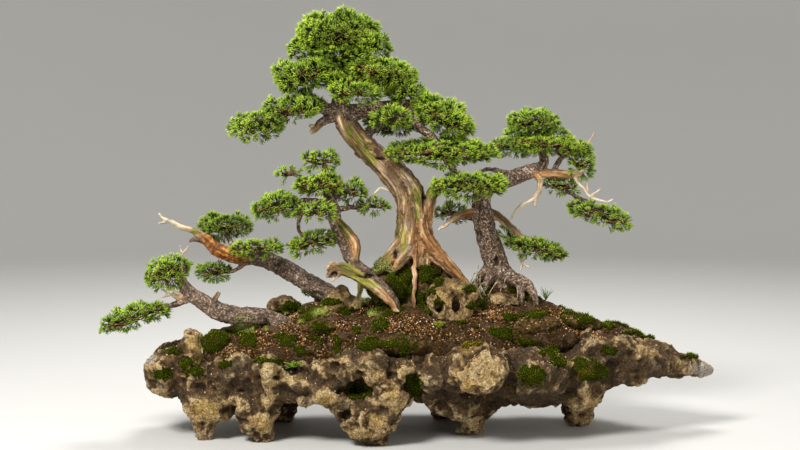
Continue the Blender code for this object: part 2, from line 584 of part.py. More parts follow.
# Each pad is (x, y, z, half width, half depth, half height, lean) out to its branchlets' tips
PADS = {
    "main_apex": (-82, 12, 518, 66, 54, 33, 0),
    "main_shoulder_left": (-129, 4, 467, 54, 48, 27, 8),
    "main_shoulder_right": (-31, 0, 468, 50, 44, 24, -8),
    "main_shoulder_front": (-60, -36, 441, 36, 24, 16, -4),
    "main_left_inner": (-142, -8, 424, 46, 34, 22, 8),
    "main_left_tip": (-196, -16, 396, 34, 30, 20, 6),
    "main_right_upper": (4, 6, 441, 32, 32, 19, -10),
    "main_right_front": (-16, -36, 407, 32, 24, 18, -4),
    "main_right_outer": (52, 0, 410, 47, 38, 23, -22),
    "main_right_middle": (46, -14, 364, 76, 36, 22, -3),
    "main_right_low": (82, -33, 323, 54, 32, 22, 0),
    "main_back_upper": (-58, 62, 456, 46, 30, 20, 0),
    "main_back_low": (-8, 74, 402, 46, 32, 18, 0),
    "right_apex": (169, 30, 402, 38, 34, 22, 0),
    "right_crown": (190, 20, 369, 62, 40, 18, -6),
    "right_crown_tip": (236, 14, 345, 19, 18, 16, -10),
    "right_behind_arm": (210, 40, 312, 26, 20, 12, -6),
    "right_arm_tip": (262, 34, 282, 42, 28, 19, -18),
    "right_low": (176, 8, 238, 45, 28, 16, -14),
    "right_low_back": (61, 61, 280, 30, 24, 13, 0),
    "right_back": (148, 78, 371, 40, 26, 16, 0),
    "centre_apex": (-103, -28, 354, 27, 24, 14, 0),
    "centre_left_twig": (-153, -30, 338, 16, 14, 11, 10),
    "centre_crown": (-107, -40, 324, 38, 28, 18, 0),
    "centre_right": (-66, -20, 314, 22, 22, 17, 0),
    "centre_left": (-162, -34, 294, 38, 32, 22, 4),
    "centre_front": (-112, -63, 291, 30, 20, 15, 0),
    "centre_right_tip": (-40, -9, 292, 25, 20, 12, -4),
    "centre_low": (-117, -30, 246, 35, 26, 17, 12),
    "centre_back": (-110, 16, 319, 32, 24, 15, 0),
    "left_back": (-240, 32, 264, 38, 30, 19, 0),
    "left_front": (-192, -24, 242, 36, 24, 16, 0),
    "left_hanging": (-249, 21, 203, 30, 24, 14, 10),
    "low_crown": (-302, -48, 217, 36, 32, 23, 10),
    "low_tip": (-342, -50, 157, 50, 28, 17, 16),
}


def stand_on_origin():
    """Hangs the pieces on one empty, moved so that their outline is centred over the origin."""
    pieces = list(planting.objects)
    corners = [vertex.co for piece in pieces for vertex in piece.data.vertices]
    middle = [(min(corner[axis] for corner in corners) + max(corner[axis] for corner in corners)) / 2
              for axis in (0, 1)]
    anchor = bpy.data.objects.new("planting", None)
    planting.objects.link(anchor)
    anchor.location = (-middle[0], -middle[1], 0.0)
    for piece in pieces:
        piece.parent = anchor


def build():
    start_scene()
    rock = material("weathered_limestone", (0.30, 0.24, 0.17))
    pale = material("pale_limestone", (0.42, 0.33, 0.21))
    ground = material("baked_clay_soil", (0.24, 0.13, 0.06))
    moss = material("cushion_moss", (0.06, 0.12, 0.015))
    old_wood = material("bleached_juniper_wood", (0.40, 0.27, 0.15))
    bark = material("juniper_bark", (0.17, 0.11, 0.08))
    needles = material("juniper_foliage", (0.10, 0.26, 0.025))

    slab = cut_level(stone("rock_slab", SLAB_LUMPS, SLAB_HOLLOWS, ROCK_VOXEL, (42, 14), (26, 9), 1350, rock))
    soil = cut_level(stone("soil", SOIL_LUMPS, [], 9.0, (40, 6), (26, 3), 360, ground), SOIL_FLOOR)
    slab_room, soil_room = room(slab), room(soil)
    seat(slab, soil_room)

    stones, stone_room = [], []
    for name, (lumps, holes, voxel, swell, pit, triangles) in STONES.items():
        made = stone(name, lumps, holes, voxel, swell, pit, triangles, pale)
        own_room = room(made)
        stones.append(seat(made, slab_room + soil_room + stone_room))
        stone_room += own_room

    woods = [
        (("main_tree", MAIN_TRUNK, MAIN_LIMBS, old_wood), dict(sides=9, flutes=4, depth=0.12, twist=110)),
        (("right_tree", RIGHT_TRUNK, RIGHT_LIMBS, bark), {}),
        (("centre_tree", CENTRE_TRUNK, CENTRE_LIMBS, bark), dict(sides=6)),
        (("left_tree", LEFT_TRUNK, LEFT_LIMBS, bark), {}),
        (("low_tree", LOW_TRUNK, LOW_LIMBS, bark), {}),
    ]
    sleeves = [sleeve_of(*values, **settings) for values, settings in woods]
    trees = [seat(tree(*values, **settings), slab_room + soil_room + stone_room) for values, settings in woods]

    cushions = []
    for name, values in MOSS.items():
        cushion = lumps_object(name, [(*values, 2)], planting)
        cushion.data.materials.append(moss)
        cushions.append(seat(cushion, slab_room + soil_room + stone_room + sleeves))

    draw = random.Random(SEED)
    plants = []
    for name, values in TUFTS.items():
        plant = tuft(name, *values, needles, draw)
        plants.append(seat(plant, slab_room + soil_room + stone_room + sleeves))

    pads = {name: pad_core(name, *values, draw) for name, values in PADS.items()}
    fixed = [surface(piece) for piece in [slab, soil, *stones, *cushions, *plants]]
    near = {name: surface(pad) for name, pad in pads.items()}
    for name, pad in pads.items():
        dress_pad(pad, fixed + [shape for other, shape in near.items() if other != name], draw)
        pad.data.materials.append(needles)
        near[name] = surface(seat(pad, sleeves))

    for piece in [slab, *stones, *trees]:
        shade(piece)
    stand_on_origin()


build()
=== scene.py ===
"""A planting of five old junipers on a weathered limestone slab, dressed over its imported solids.

The foliage, wood, rock, soil and moss are meshes, and every finish is procedural.
"""

import json
import math
import random

import bmesh
import bpy
import numpy as np
from mathutils import Matrix, Vector, noise
from mathutils.bvhtree import BVHTree

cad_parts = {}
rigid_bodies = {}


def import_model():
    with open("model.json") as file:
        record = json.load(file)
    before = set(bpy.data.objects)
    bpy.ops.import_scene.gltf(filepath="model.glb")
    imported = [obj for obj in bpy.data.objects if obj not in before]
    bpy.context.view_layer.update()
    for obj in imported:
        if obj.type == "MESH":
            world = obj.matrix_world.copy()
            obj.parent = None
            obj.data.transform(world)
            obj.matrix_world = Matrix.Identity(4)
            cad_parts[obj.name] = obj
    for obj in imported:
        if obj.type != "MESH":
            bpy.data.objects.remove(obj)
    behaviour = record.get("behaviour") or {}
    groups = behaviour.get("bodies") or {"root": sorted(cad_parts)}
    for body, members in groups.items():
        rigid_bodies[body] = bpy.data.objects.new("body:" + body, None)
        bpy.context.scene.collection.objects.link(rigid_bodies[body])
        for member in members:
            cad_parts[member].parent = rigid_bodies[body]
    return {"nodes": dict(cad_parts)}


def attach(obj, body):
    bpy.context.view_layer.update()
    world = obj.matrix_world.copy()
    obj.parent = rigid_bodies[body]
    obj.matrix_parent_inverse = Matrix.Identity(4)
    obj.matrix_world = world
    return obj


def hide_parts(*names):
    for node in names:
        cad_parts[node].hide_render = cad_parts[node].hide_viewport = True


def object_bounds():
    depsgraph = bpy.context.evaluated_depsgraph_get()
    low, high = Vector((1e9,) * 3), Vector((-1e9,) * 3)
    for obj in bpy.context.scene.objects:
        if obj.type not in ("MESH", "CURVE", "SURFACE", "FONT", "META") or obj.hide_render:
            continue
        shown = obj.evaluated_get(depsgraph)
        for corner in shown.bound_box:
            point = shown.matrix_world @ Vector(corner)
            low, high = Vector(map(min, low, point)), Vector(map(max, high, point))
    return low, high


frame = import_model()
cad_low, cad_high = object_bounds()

MM = 0.001
SEED = 11

# The photographed view, in millimetres: what the camera looks at, from how far, and what a pixel covers
LOOKED_AT = Vector((-17.2, 10.4, 268.0))
CAMERA_DISTANCE = 1900.0
CAMERA_ELEVATION = math.radians(4.0)
PIXEL_SIZE = 1.3
PICTURE = (800, 450)
SENSOR = 36.0

# From the frame that the trees' routes are drawn in to the frame of the model, in millimetres
ROUTE_SHIFT = Vector((-11.36, 10.36, 0.0))

# Grain of the meshes, in millimetres
ROCK_GRAIN = 2.6
STONE_GRAIN = 1.9
ROCK_SHARE = 0.6          # how many of the stones' faces are kept
SOIL_GRAIN = 4.0
MOSS_GRAIN = 2.2
WOOD_GRAIN = 1.5
WOOD_SHARE = 0.55         # how many of the wood's faces are kept

# How many millimetres deep a spot of the photograph reaches, and the share of points that it misses
SPOT_DEPTH = 30.0
FAR_OFF = -9.0

draw = random.Random(SEED)


# Helpers for objects and nodes

def srgb(code):
    """A linear colour from an sRGB hex value."""
    parts = [int(code[place:place + 2], 16) / 255 for place in (0, 2, 4)]
    return (*[part / 12.92 if part <= 0.04045 else ((part + 0.055) / 1.055) ** 2.4 for part in parts], 1.0)


def link(name, data):
    obj = bpy.data.objects.new(name, data)
    bpy.context.scene.collection.objects.link(obj)
    return obj


def settle(obj):
    """Replaces the object's mesh by what its modifiers make of it."""
    bpy.context.view_layer.update()
    made = bpy.data.meshes.new_from_object(obj.evaluated_get(bpy.context.evaluated_depsgraph_get()))
    obj.modifiers.clear()
    obj.data = made
    return obj


def modify(obj, kind, **settings):
    modifier = obj.modifiers.new(kind.title(), kind)
    for name, value in settings.items():
        setattr(modifier, name, value)
    return modifier


def socket(sockets, key):
    """A node's socket by its place, or by its name among those that the node's settings leave in use."""
    return sockets[key] if isinstance(key, int) else next(s for s in sockets if s.name == key and s.enabled)


def feed(tree, node, key, value):
    """Gives a node's input a value, a socket, or a node, whose first output in use is meant."""
    if isinstance(value, bpy.types.Node):
        value = next(s for s in value.outputs if s.enabled)
    if isinstance(value, bpy.types.NodeSocket):
        tree.links.new(value, socket(node.inputs, key))
    else:
        socket(node.inputs, key).default_value = value


def add(tree, kind, *inputs, **settings):
    """Adds a node, or a math node where the kind is its operation. Its inputs come in their order, or else in
    one table by place or by name."""
    if kind.isupper():
        kind, settings = "ShaderNodeMath", {"operation": kind}
    made = tree.nodes.new(kind)
    for name, value in settings.items():
        setattr(made, name, value)
    table = inputs[0] if inputs and isinstance(inputs[0], dict) else dict(enumerate(inputs))
    for key, value in table.items():
        feed(tree, made, key, value)
    return made


def mesh_of(bm, name):
    """A plain mesh from an editable one, which is freed."""
    mesh = bpy.data.meshes.new(name)
    bm.to_mesh(mesh)
    bm.free()
    return mesh


def cad_copy(node):
    """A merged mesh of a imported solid, as an object of its own."""
    bm = bmesh.new()
    bm.from_mesh(frame["nodes"][node].data)
    bmesh.ops.remove_doubles(bm, verts=bm.verts, dist=0.02 * MM)
    mesh = mesh_of(bm, node)
    mesh.materials.clear()
    return link(node + "_form", mesh)


def joined(objects):
    """One object with the meshes of them all."""
    first, *others = objects
    if others:
        with bpy.context.temp_override(active_object=first, selected_editable_objects=objects):
            bpy.ops.object.join()
    return first


def corners_of(mesh):
    """The mesh's vertices as an array, in metres."""
    flat = np.empty(len(mesh.vertices) * 3, np.float32)
    mesh.vertices.foreach_get("co", flat)
    return flat.reshape(-1, 3)


def normals_of(mesh):
    """The normals at the mesh's vertices as an array."""
    flat = np.empty(len(mesh.vertices) * 3, np.float32)
    mesh.vertex_normals.foreach_get("vector", flat)
    return flat.reshape(-1, 3)


def put_corners(mesh, points):
    """Moves the mesh's vertices to new places, in metres."""
    mesh.vertices.foreach_set("co", points.astype(np.float32).ravel())
    mesh.update()


def jagged(points, size):
    """Noise at each point whose swirls measure so many millimetres, with weaker and finer ones among them."""
    broad, fine = 1 / (size * MM), 2.6 / (size * MM)
    return np.array([noise.noise(Vector(point) * broad) + 0.6 * noise.noise(Vector(point) * fine)
                     for point in points])


def standing_out(mesh, rounds):
    """How many millimetres each vertex stands out of the mesh smoothed so many times over."""
    count = len(mesh.vertices)
    ends = np.empty(2 * len(mesh.edges), np.int32)
    mesh.edges.foreach_get("vertices", ends)
    first, second = ends.reshape(-1, 2).T
    neighbours = np.maximum(np.bincount(ends, minlength=count), 1)[:, None]
    start = corners_of(mesh).astype(float)
    smooth = start
    for _ in range(rounds):
        total = [np.bincount(first, smooth[second, axis], count)
                 + np.bincount(second, smooth[first, axis], count) for axis in range(3)]
        smooth = 0.5 * (smooth + np.stack(total, axis=1) / neighbours)
    return ((start - smooth) * normals_of(mesh)).sum(axis=1) / MM


def without_empty_slots(mesh):
    """Takes out material slots that hold nothing."""
    kept = [place for place, made in enumerate(mesh.materials) if made]
    if len(kept) < len(mesh.materials):
        used = np.empty(len(mesh.polygons), np.int32)
        mesh.polygons.foreach_get("material_index", used)
        finishes = [mesh.materials[place] for place in kept]
        mesh.materials.clear()
        for made in finishes:
            mesh.materials.append(made)
        mesh.polygons.foreach_set("material_index", np.searchsorted(kept, used).astype(np.int32))


def keep_attribute(mesh, name, values):
    """Stores one number or one vector for each vertex, in place of what the name held."""
    kind, field = ("FLOAT", "value") if np.ndim(values) == 1 else ("FLOAT_VECTOR", "vector")
    layer = mesh.attributes.get(name) or mesh.attributes.new(name, kind, "POINT")
    layer.data.foreach_set(field, np.ascontiguousarray(values, np.float32).ravel())


def finished(obj, name, slot, *nodes):
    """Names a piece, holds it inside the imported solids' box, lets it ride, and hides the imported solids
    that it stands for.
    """
    obj.name = name
    obj.data.name = name
    put_corners(obj.data, np.clip(corners_of(obj.data), cad_low, cad_high))
    obj.data.shade_smooth()
    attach(obj, "root")
    if nodes:
        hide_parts(*nodes)
    return obj


# Geometry trees

def geometry_tree(name, **sizes):
    """A geometry tree, the sockets that its inputs are read from, and its output node. Each size is an input
    with that value, or without one where the word for a kind of thing stands in its place."""
    tree = bpy.data.node_groups.new(name, "GeometryNodeTree")
    for way in ("INPUT", "OUTPUT"):
        tree.interface.new_socket("Geometry", in_out=way, socket_type="NodeSocketGeometry")
    for label, value in sizes.items():
        kind = value if isinstance(value, str) else {float: "Float", int: "Int", bool: "Bool"}[type(value)]
        made = tree.interface.new_socket(label, in_out="INPUT", socket_type="NodeSocket" + kind)
        if kind != value:
            made.default_value = value
    return tree, tree.nodes.new("NodeGroupInput").outputs, tree.nodes.new("NodeGroupOutput")


def run_tree(obj, tree, **sizes):
    """Runs a geometry tree on the object and keeps what it makes as a plain mesh."""
    modifier = obj.modifiers.new(tree.name, "NODES")
    modifier.node_group = tree
    for item in tree.interface.items_tree:
        if item.in_out == "INPUT" and item.name in sizes:
            modifier[item.identifier] = sizes[item.name]
    settle(obj)
    without_empty_slots(obj.data)
    return obj


def stored(tree, name, kind="FLOAT"):
    """What a mesh stores under a name, as a geometry tree or a finish reads it."""
    if tree.type == "SHADER":
        return add(tree, "ShaderNodeAttribute", attribute_name=name).outputs["Fac"]
    return add(tree, "GeometryNodeInputNamedAttribute", {"Name": name}, data_type=kind).outputs[0]


def scaled(tree, vector, size):
    """A vector divided by a size, so that a pattern of that many metres repeats once a unit."""
    grown = add(tree, "DIVIDE", 1.0, size)
    return add(tree, "ShaderNodeVectorMath", {0: vector, "Scale": grown}, operation="SCALE")


def swirls(tree, size, detail, place=None, zoom=1.0, height=1.0):
    """Noise from -1 to 1, or of another height, whose swirls measure a size in metres."""
    place = add(tree, "GeometryNodeInputPosition") if place is None else place
    pattern = add(tree, "ShaderNodeTexNoise", {"Vector": scaled(tree, place, size), "Scale": zoom,
                                               "Detail": detail})
    return add(tree, "MULTIPLY_ADD", pattern, 2 * height, -height)


def pushed(tree, geometry, height):
    """A surface moved along its normals."""
    normal = add(tree, "GeometryNodeInputNormal")
    offset = add(tree, "ShaderNodeVectorMath", {0: normal, "Scale": height}, operation="SCALE")
    return add(tree, "GeometryNodeSetPosition", {"Geometry": geometry, "Offset": offset})


def give_all(tree, result, *parts):
    """Joins the parts as what the tree makes."""
    whole = add(tree, "GeometryNodeJoinGeometry")
    for part in parts:
        feed(tree, whole, 0, part)
    feed(tree, result, 0, whole)


# The camera, and what it sees under a pixel of the photograph

def camera_place():
    """The camera's position and its right, up and forward directions."""
    right = Vector((1, 0, 0))
    forward = Vector((0.0, math.cos(CAMERA_ELEVATION), -math.sin(CAMERA_ELEVATION)))
    return (LOOKED_AT - forward * CAMERA_DISTANCE) * MM, right, right.cross(forward), forward


def under_pixel(surface, px, row):
    """Where the ray through a pixel of the photograph first meets a surface."""
    eye, right, up, forward = camera_place()
    reach = CAMERA_DISTANCE / PIXEL_SIZE
    ray = right * (px - PICTURE[0] / 2) + up * (PICTURE[1] / 2 - row) + forward * reach
    return surface.ray_cast(eye, ray.normalized())[0]


def surface_of(*meshes):
    """A tree of triangles for rays and distances."""
    points, faces = [], []
    for mesh in meshes:
        start = len(points)
        points += [vertex.co.copy() for vertex in mesh.vertices]
        faces += [[start + place for place in polygon.vertices] for polygon in mesh.polygons]
    return BVHTree.FromPolygons(points, faces)


def in_picture(points):
    """Each point's px and row in the photograph, and its distance from the camera in millimetres."""
    eye, right, up, forward = (np.array(value) for value in camera_place())
    ray = points - eye
    depth = ray @ forward
    scale = CAMERA_DISTANCE / PIXEL_SIZE / depth
    return PICTURE[0] / 2 + (ray @ right) * scale, PICTURE[1] / 2 - (ray @ up) * scale, depth / MM


def spot_share(points, surface, spot):
    """How near each point is to the middle of a spot, (px, row, half width, half height): 1 there, 0 on its
    rim and below 0 outside. Points well behind or before the surface there count as far off."""
    place = under_pixel(surface, spot[0], spot[1])
    if place is None:
        return np.full(len(points), FAR_OFF)
    px, row, depth = in_picture(points)
    _, _, here = in_picture(np.array(place)[None])
    apart = np.maximum(np.abs(depth - here) - 0.5 * SPOT_DEPTH, 0) / SPOT_DEPTH
    return 1 - np.sqrt(((px - spot[0]) / spot[2]) ** 2 + ((row - spot[1]) / spot[3]) ** 2 + apart ** 2)


def painted(mesh, surface, spots):
    """How strongly each vertex lies in one of the soft spots, each (px, row, half width, half height)."""
    points = corners_of(mesh).astype(float)
    strength = np.zeros(len(points))
    for spot in spots:
        strength = np.maximum(strength, np.clip(0.4 + 1.2 * spot_share(points, surface, spot), 0, 1))
    return strength


# Finishes

def finish(name, roughness, specular=0.5):
    """A Principled finish, with its tree and its shader. These numbers are the same all over it."""
    made = bpy.data.materials.new(name)
    made.use_nodes = True
    shader = made.node_tree.nodes["Principled BSDF"]
    shader.inputs["Roughness"].default_value = roughness
    shader.inputs["Specular IOR Level"].default_value = specular
    return made, made.node_tree, shader


def spread_ramp(tree, value, *stops):
    """A colour ramp through (place, hex) stops."""
    ramp = add(tree, "ShaderNodeValToRGB", {"Fac": value})
    line = ramp.color_ramp.elements
    while len(line) < len(stops):
        line.new(0.5)
    for element, (place, code) in zip(line, stops):
        element.position = place
        element.color = srgb(code)
    return ramp


def blended(tree, share, low, high):
    """A colour between two, each a hex value or a node."""
    low, high = (srgb(value) if isinstance(value, str) else value for value in (low, high))
    return add(tree, "ShaderNodeMix", {"Factor": share, "A": low, "B": high}, data_type="RGBA")


def grained(tree, size, detail=2.0, roughness=0.55, place=None):
    """Noise whose swirls measure so many millimetres."""
    place = add(tree, "ShaderNodeTexCoord").outputs["Object"] if place is None else place
    return add(tree, "ShaderNodeTexNoise", {"Vector": place, "Scale": 1000.0 / size, "Detail": detail,
                                            "Roughness": roughness})


def between(tree, value, low, high, most=1.0, least=0.0):
    """The least at low, the most at high, and even between them."""
    return add(tree, "ShaderNodeMapRange", {"Value": value, "From Min": low, "From Max": high,
                                            "To Min": least, "To Max": most})


def raised(tree, shader, height, distance):
    """Gives the shader a relief of so many millimetres."""
    bump = add(tree, "ShaderNodeBump", {"Height": height, "Distance": distance * MM, "Strength": 1.0})
    feed(tree, shader, "Normal", bump)


def speckled(name, roughness, specular, swirl, *stops, relief=0.0):
    """A finish whose colour follows one noise, given by its size, its detail and its roughness."""
    made, tree, shader = finish(name, roughness, specular)
    speckle = grained(tree, *swirl)
    feed(tree, shader, "Base Color", spread_ramp(tree, speckle, *stops))
    if relief:
        raised(tree, shader, speckle, relief)
    return made


def limestone():
    """Weathered limestone: cream where it stands proud, with a painted highlight on its sharpest rims, tan
    and ochre where iron has stained it, chalky in places, dark brown where mud and algae lie in its hollows
    and on top, and painted shade on its undersides and in its deepest hollows."""
    made, tree, shader = finish("weathered_limestone", 0.9, 0.28)
    broad = grained(tree, 38, 4.0, 0.6)
    middle = grained(tree, 9, 5.0, 0.62)
    fine = grained(tree, 2.4, 4.0, 0.7)
    lean = add(tree, "MULTIPLY_ADD", stored(tree, "proud"), 2.0, -1.0)
    ragged = add(tree, "ADD", add(tree, "MULTIPLY_ADD", middle, 1.1, -0.55),
                 add(tree, "MULTIPLY_ADD", broad, 1.5, -0.75))
    base = spread_ramp(tree, middle, (0.32, "23180b"), (0.45, "42301b"), (0.56, "60492c"), (0.7, "8a6f46"))
    pale = add(tree, "ADD", stored(tree, "pale"), add(tree, "MULTIPLY_ADD", lean, 0.7, ragged))
    cream = spread_ramp(tree, fine, (0.3, "624c28"), (0.43, "957746"), (0.56, "bb9c68"), (0.7, "eedfbe"))
    cream = blended(tree, between(tree, middle, 0.54, 0.36, 0.6), cream, base)
    colour = blended(tree, between(tree, pale, 0.3, 0.95), base, cream)
    # Painted highlight: pale cream on the sharpest rims that stand proud, where light catches them
    rim = add(tree, "MULTIPLY", between(tree, lean, 0.35, 0.95), between(tree, pale, 0.1, 0.6))
    rim = add(tree, "MULTIPLY", rim, between(tree, fine, 0.38, 0.6, 0.5))
    colour = blended(tree, rim, colour, "d6c298")
    ochre = add(tree, "ADD", stored(tree, "ochre"), ragged)
    yellow = spread_ramp(tree, fine, (0.3, "6b5020"), (0.5, "a5843f"), (0.72, "d9c081"))
    colour = blended(tree, between(tree, ochre, 0.45, 1.0, 0.6), colour, yellow)
    stain = add(tree, "SUBTRACT", add(tree, "MULTIPLY_ADD", stored(tree, "stain"), 1.3, ragged),
                add(tree, "MULTIPLY", lean, 0.45))
    stained = spread_ramp(tree, fine, (0.3, "1d1408"), (0.48, "3b2c1a"), (0.62, "58452e"), (0.76, "7a6548"))
    colour = blended(tree, between(tree, stain, 0.35, 0.95, 0.88), colour, stained)
    normal = add(tree, "ShaderNodeNewGeometry").outputs["Normal"]
    upward = between(tree, add(tree, "ShaderNodeSeparateXYZ", normal).outputs["Z"], 0.1, 0.85)
    mud = add(tree, "SUBTRACT", add(tree, "ADD", upward, add(tree, "MULTIPLY", ragged, 0.8)),
              add(tree, "MULTIPLY", lean, 0.5))
    earth = spread_ramp(tree, fine, (0.3, "23180b"), (0.48, "42301b"), (0.62, "604a34"), (0.74, "80694f"))
    colour = blended(tree, between(tree, mud, 0.45, 1.15, 0.85), colour, earth)
    # Painted shade on the undersides, in the dark stained colour
    colour = blended(tree, stored(tree, "slate"), colour, stained)
    chalk = spread_ramp(tree, fine, (0.3, "6b625c"), (0.48, "958c84"), (0.7, "d2cbc6"))
    chalky = add(tree, "ADD", stored(tree, "chalk"), ragged)
    colour = blended(tree, between(tree, chalky, 0.3, 1.0, 0.85), colour, chalk)
    # Painted shade: the deepest hollows are darkened nearly to black
    colour = blended(tree, between(tree, lean, -0.3, -1.0, 0.75), colour, "1d150c")
    colour = blended(tree, between(tree, fine, 0.42, 0.3, 0.45), colour, "2a1f14")
    feed(tree, shader, "Base Color", colour)
    raised(tree, shader, add(tree, "ADD", add(tree, "MULTIPLY", middle, 2.0), fine), 2.3)
    return made


# Rock: what the photograph shows at each (px, row, half width, half height), and for a carving how many
# millimetres the rock goes in there, or comes out where the number is negative

CARVINGS = [
    (357, 391, 21, 13, 28), (414, 386, 13, 14, 18), (296, 371, 13, 7, 13), (240, 386, 13, 12, 7),
    (298, 394, 17, 8, 9), (390, 366, 5, 16, 6), (180, 395, 14, 7, 6), (524, 401, 34, 9, 12),
    (509, 385, 7, 15, 8), (650, 374, 26, 6, 5), (346, 414, 7, 8, 7), (394, 420, 5, 8, 5),
    (546, 356, 13, 8, 6), (168, 374, 8, 6, 4), (430, 352, 12, 6, 5), (236, 408, 5, 5, 5),
    (440, 398, 12, 9, 5), (610, 378, 10, 7, 5), (333, 372, 5, 8, 6), (480, 372, 23, 20, -12),
    (208, 412, 16, 12, -4), (231, 401, 8, 7, -5), (270, 379, 7, 16, -8), (326, 397, 10, 9, -7),
    (356, 363, 17, 7, -7), (393, 401, 12, 19, -9), (583, 404, 12, 11, -6), (480, 421, 11, 7, -4),
    (195, 340, 10, 9, -4), (153, 361, 6, 6, -3), (318, 362, 5, 10, -6), (583, 366, 12, 6, -5),
    (264, 424, 10, 9, -4), (404, 372, 8, 10, -5), (635, 352, 12, 8, -4), (367, 424, 10, 9, -4),
    (672, 360, 9, 6, -3),
]
ROCK_SPOTS = {
    "pale": [
        (152, 360, 8, 10), (160, 395, 10, 6), (206, 412, 18, 14), (231, 402, 9, 8), (271, 376, 11, 12),
        (266, 398, 8, 14), (262, 424, 13, 12), (222, 388, 7, 8), (326, 396, 11, 10), (300, 378, 14, 5),
        (318, 362, 6, 10), (352, 364, 18, 9), (372, 376, 10, 7), (402, 366, 10, 14), (394, 398, 14, 20),
        (378, 424, 18, 12), (479, 371, 26, 21), (583, 402, 14, 13), (580, 368, 14, 6), (648, 352, 17, 12),
        (704, 369, 11, 11), (625, 356, 12, 7), (478, 424, 14, 6), (196, 341, 9, 9), (583, 412, 14, 12),
        (430, 420, 12, 6), (540, 395, 8, 4), (360, 432, 18, 6),
    ],
    "ochre": [
        (195, 342, 10, 10), (204, 410, 16, 12), (262, 424, 11, 10), (568, 366, 7, 6), (466, 350, 12, 7),
        (392, 392, 8, 12), (376, 420, 10, 8), (470, 386, 12, 8), (326, 398, 9, 8),
    ],
    "stain": [
        (240, 386, 17, 14), (298, 392, 20, 9), (316, 380, 10, 8), (391, 350, 7, 16), (345, 406, 9, 8),
        (495, 338, 10, 6), (440, 390, 22, 16), (526, 400, 40, 12), (615, 384, 16, 9), (180, 396, 14, 8),
        (240, 366, 22, 8), (430, 352, 20, 8), (357, 392, 22, 14), (414, 386, 14, 14), (296, 371, 14, 7),
        (560, 345, 26, 12), (392, 418, 6, 8), (520, 350, 14, 14), (600, 352, 14, 10), (250, 350, 30, 10),
        (350, 350, 20, 6), (388, 361, 16, 6), (622, 360, 24, 10), (645, 368, 30, 6), (560, 372, 20, 12),
        (500, 392, 24, 8), (340, 384, 14, 10), (222, 374, 14, 8), (440, 366, 12, 10), (596, 374, 16, 8),
        (620, 352, 24, 9), (610, 366, 18, 8), (390, 358, 20, 7), (466, 400, 18, 8), (355, 366, 15, 5),
        (620, 358, 26, 9), (570, 384, 20, 8), (530, 385, 20, 8), (650, 362, 24, 8), (228, 384, 12, 12),
        (415, 345, 14, 6),
    ],
    # Painted shade: dark colour on the undersides of the overhangs
    "slate": [
        (300, 425, 46, 9), (530, 418, 34, 10), (415, 432, 20, 6), (612, 380, 20, 6), (660, 376, 26, 3),
        (545, 398, 34, 9), (500, 404, 20, 6),
    ],
    "chalk": [(706, 370, 16, 12), (149, 358, 8, 8)],
}
BACK_CARVINGS = 44
TIP_START = 0.33         # from here on the slab's right arm is drawn in, which keeps its tip round, in metres
TIP_DRAWN_IN = 0.9
# How much a fine rim and a broad swell count in how proud stone stands, for each millimetre
RIM_WEIGHT = 0.17
SWELL_WEIGHT = 0.06


def carved(obj):
    """Cuts the hollows and raises the lumps that the photograph shows, and others like them behind."""
    surface = surface_of(obj.data)
    points = corners_of(obj.data).astype(float)
    forward = np.array(camera_place()[3])
    moves = np.zeros_like(points)
    jag = jagged(points, 11)
    for *spot, depth in CARVINGS:
        share = np.clip(1.9 * np.clip(spot_share(points, surface, spot) + 0.3 * jag + 0.12, 0, 1), 0, 1)
        moves += (depth * MM * share ** 2 * (3 - 2 * share))[:, None] * forward
    normals = normals_of(obj.data)
    behind = np.flatnonzero((normals[:, 1] > 0.25) & (points[:, 2] > 12 * MM))
    luck = np.random.default_rng(SEED)
    for _ in range(BACK_CARVINGS):
        at = luck.choice(behind)
        share = 1 - np.linalg.norm(points - points[at], axis=1) / (luck.uniform(12, 24) * MM) + 0.3 * jag
        depth = luck.choice([-6, 8, 12]) * MM
        moves -= (depth * np.clip(1.6 * share, 0, 1) ** 2)[:, None] * normals[at]
    points += moves
    points[:, 0] = np.minimum(points[:, 0], TIP_START + TIP_DRAWN_IN * (points[:, 0] - TIP_START))
    put_corners(obj.data, points)


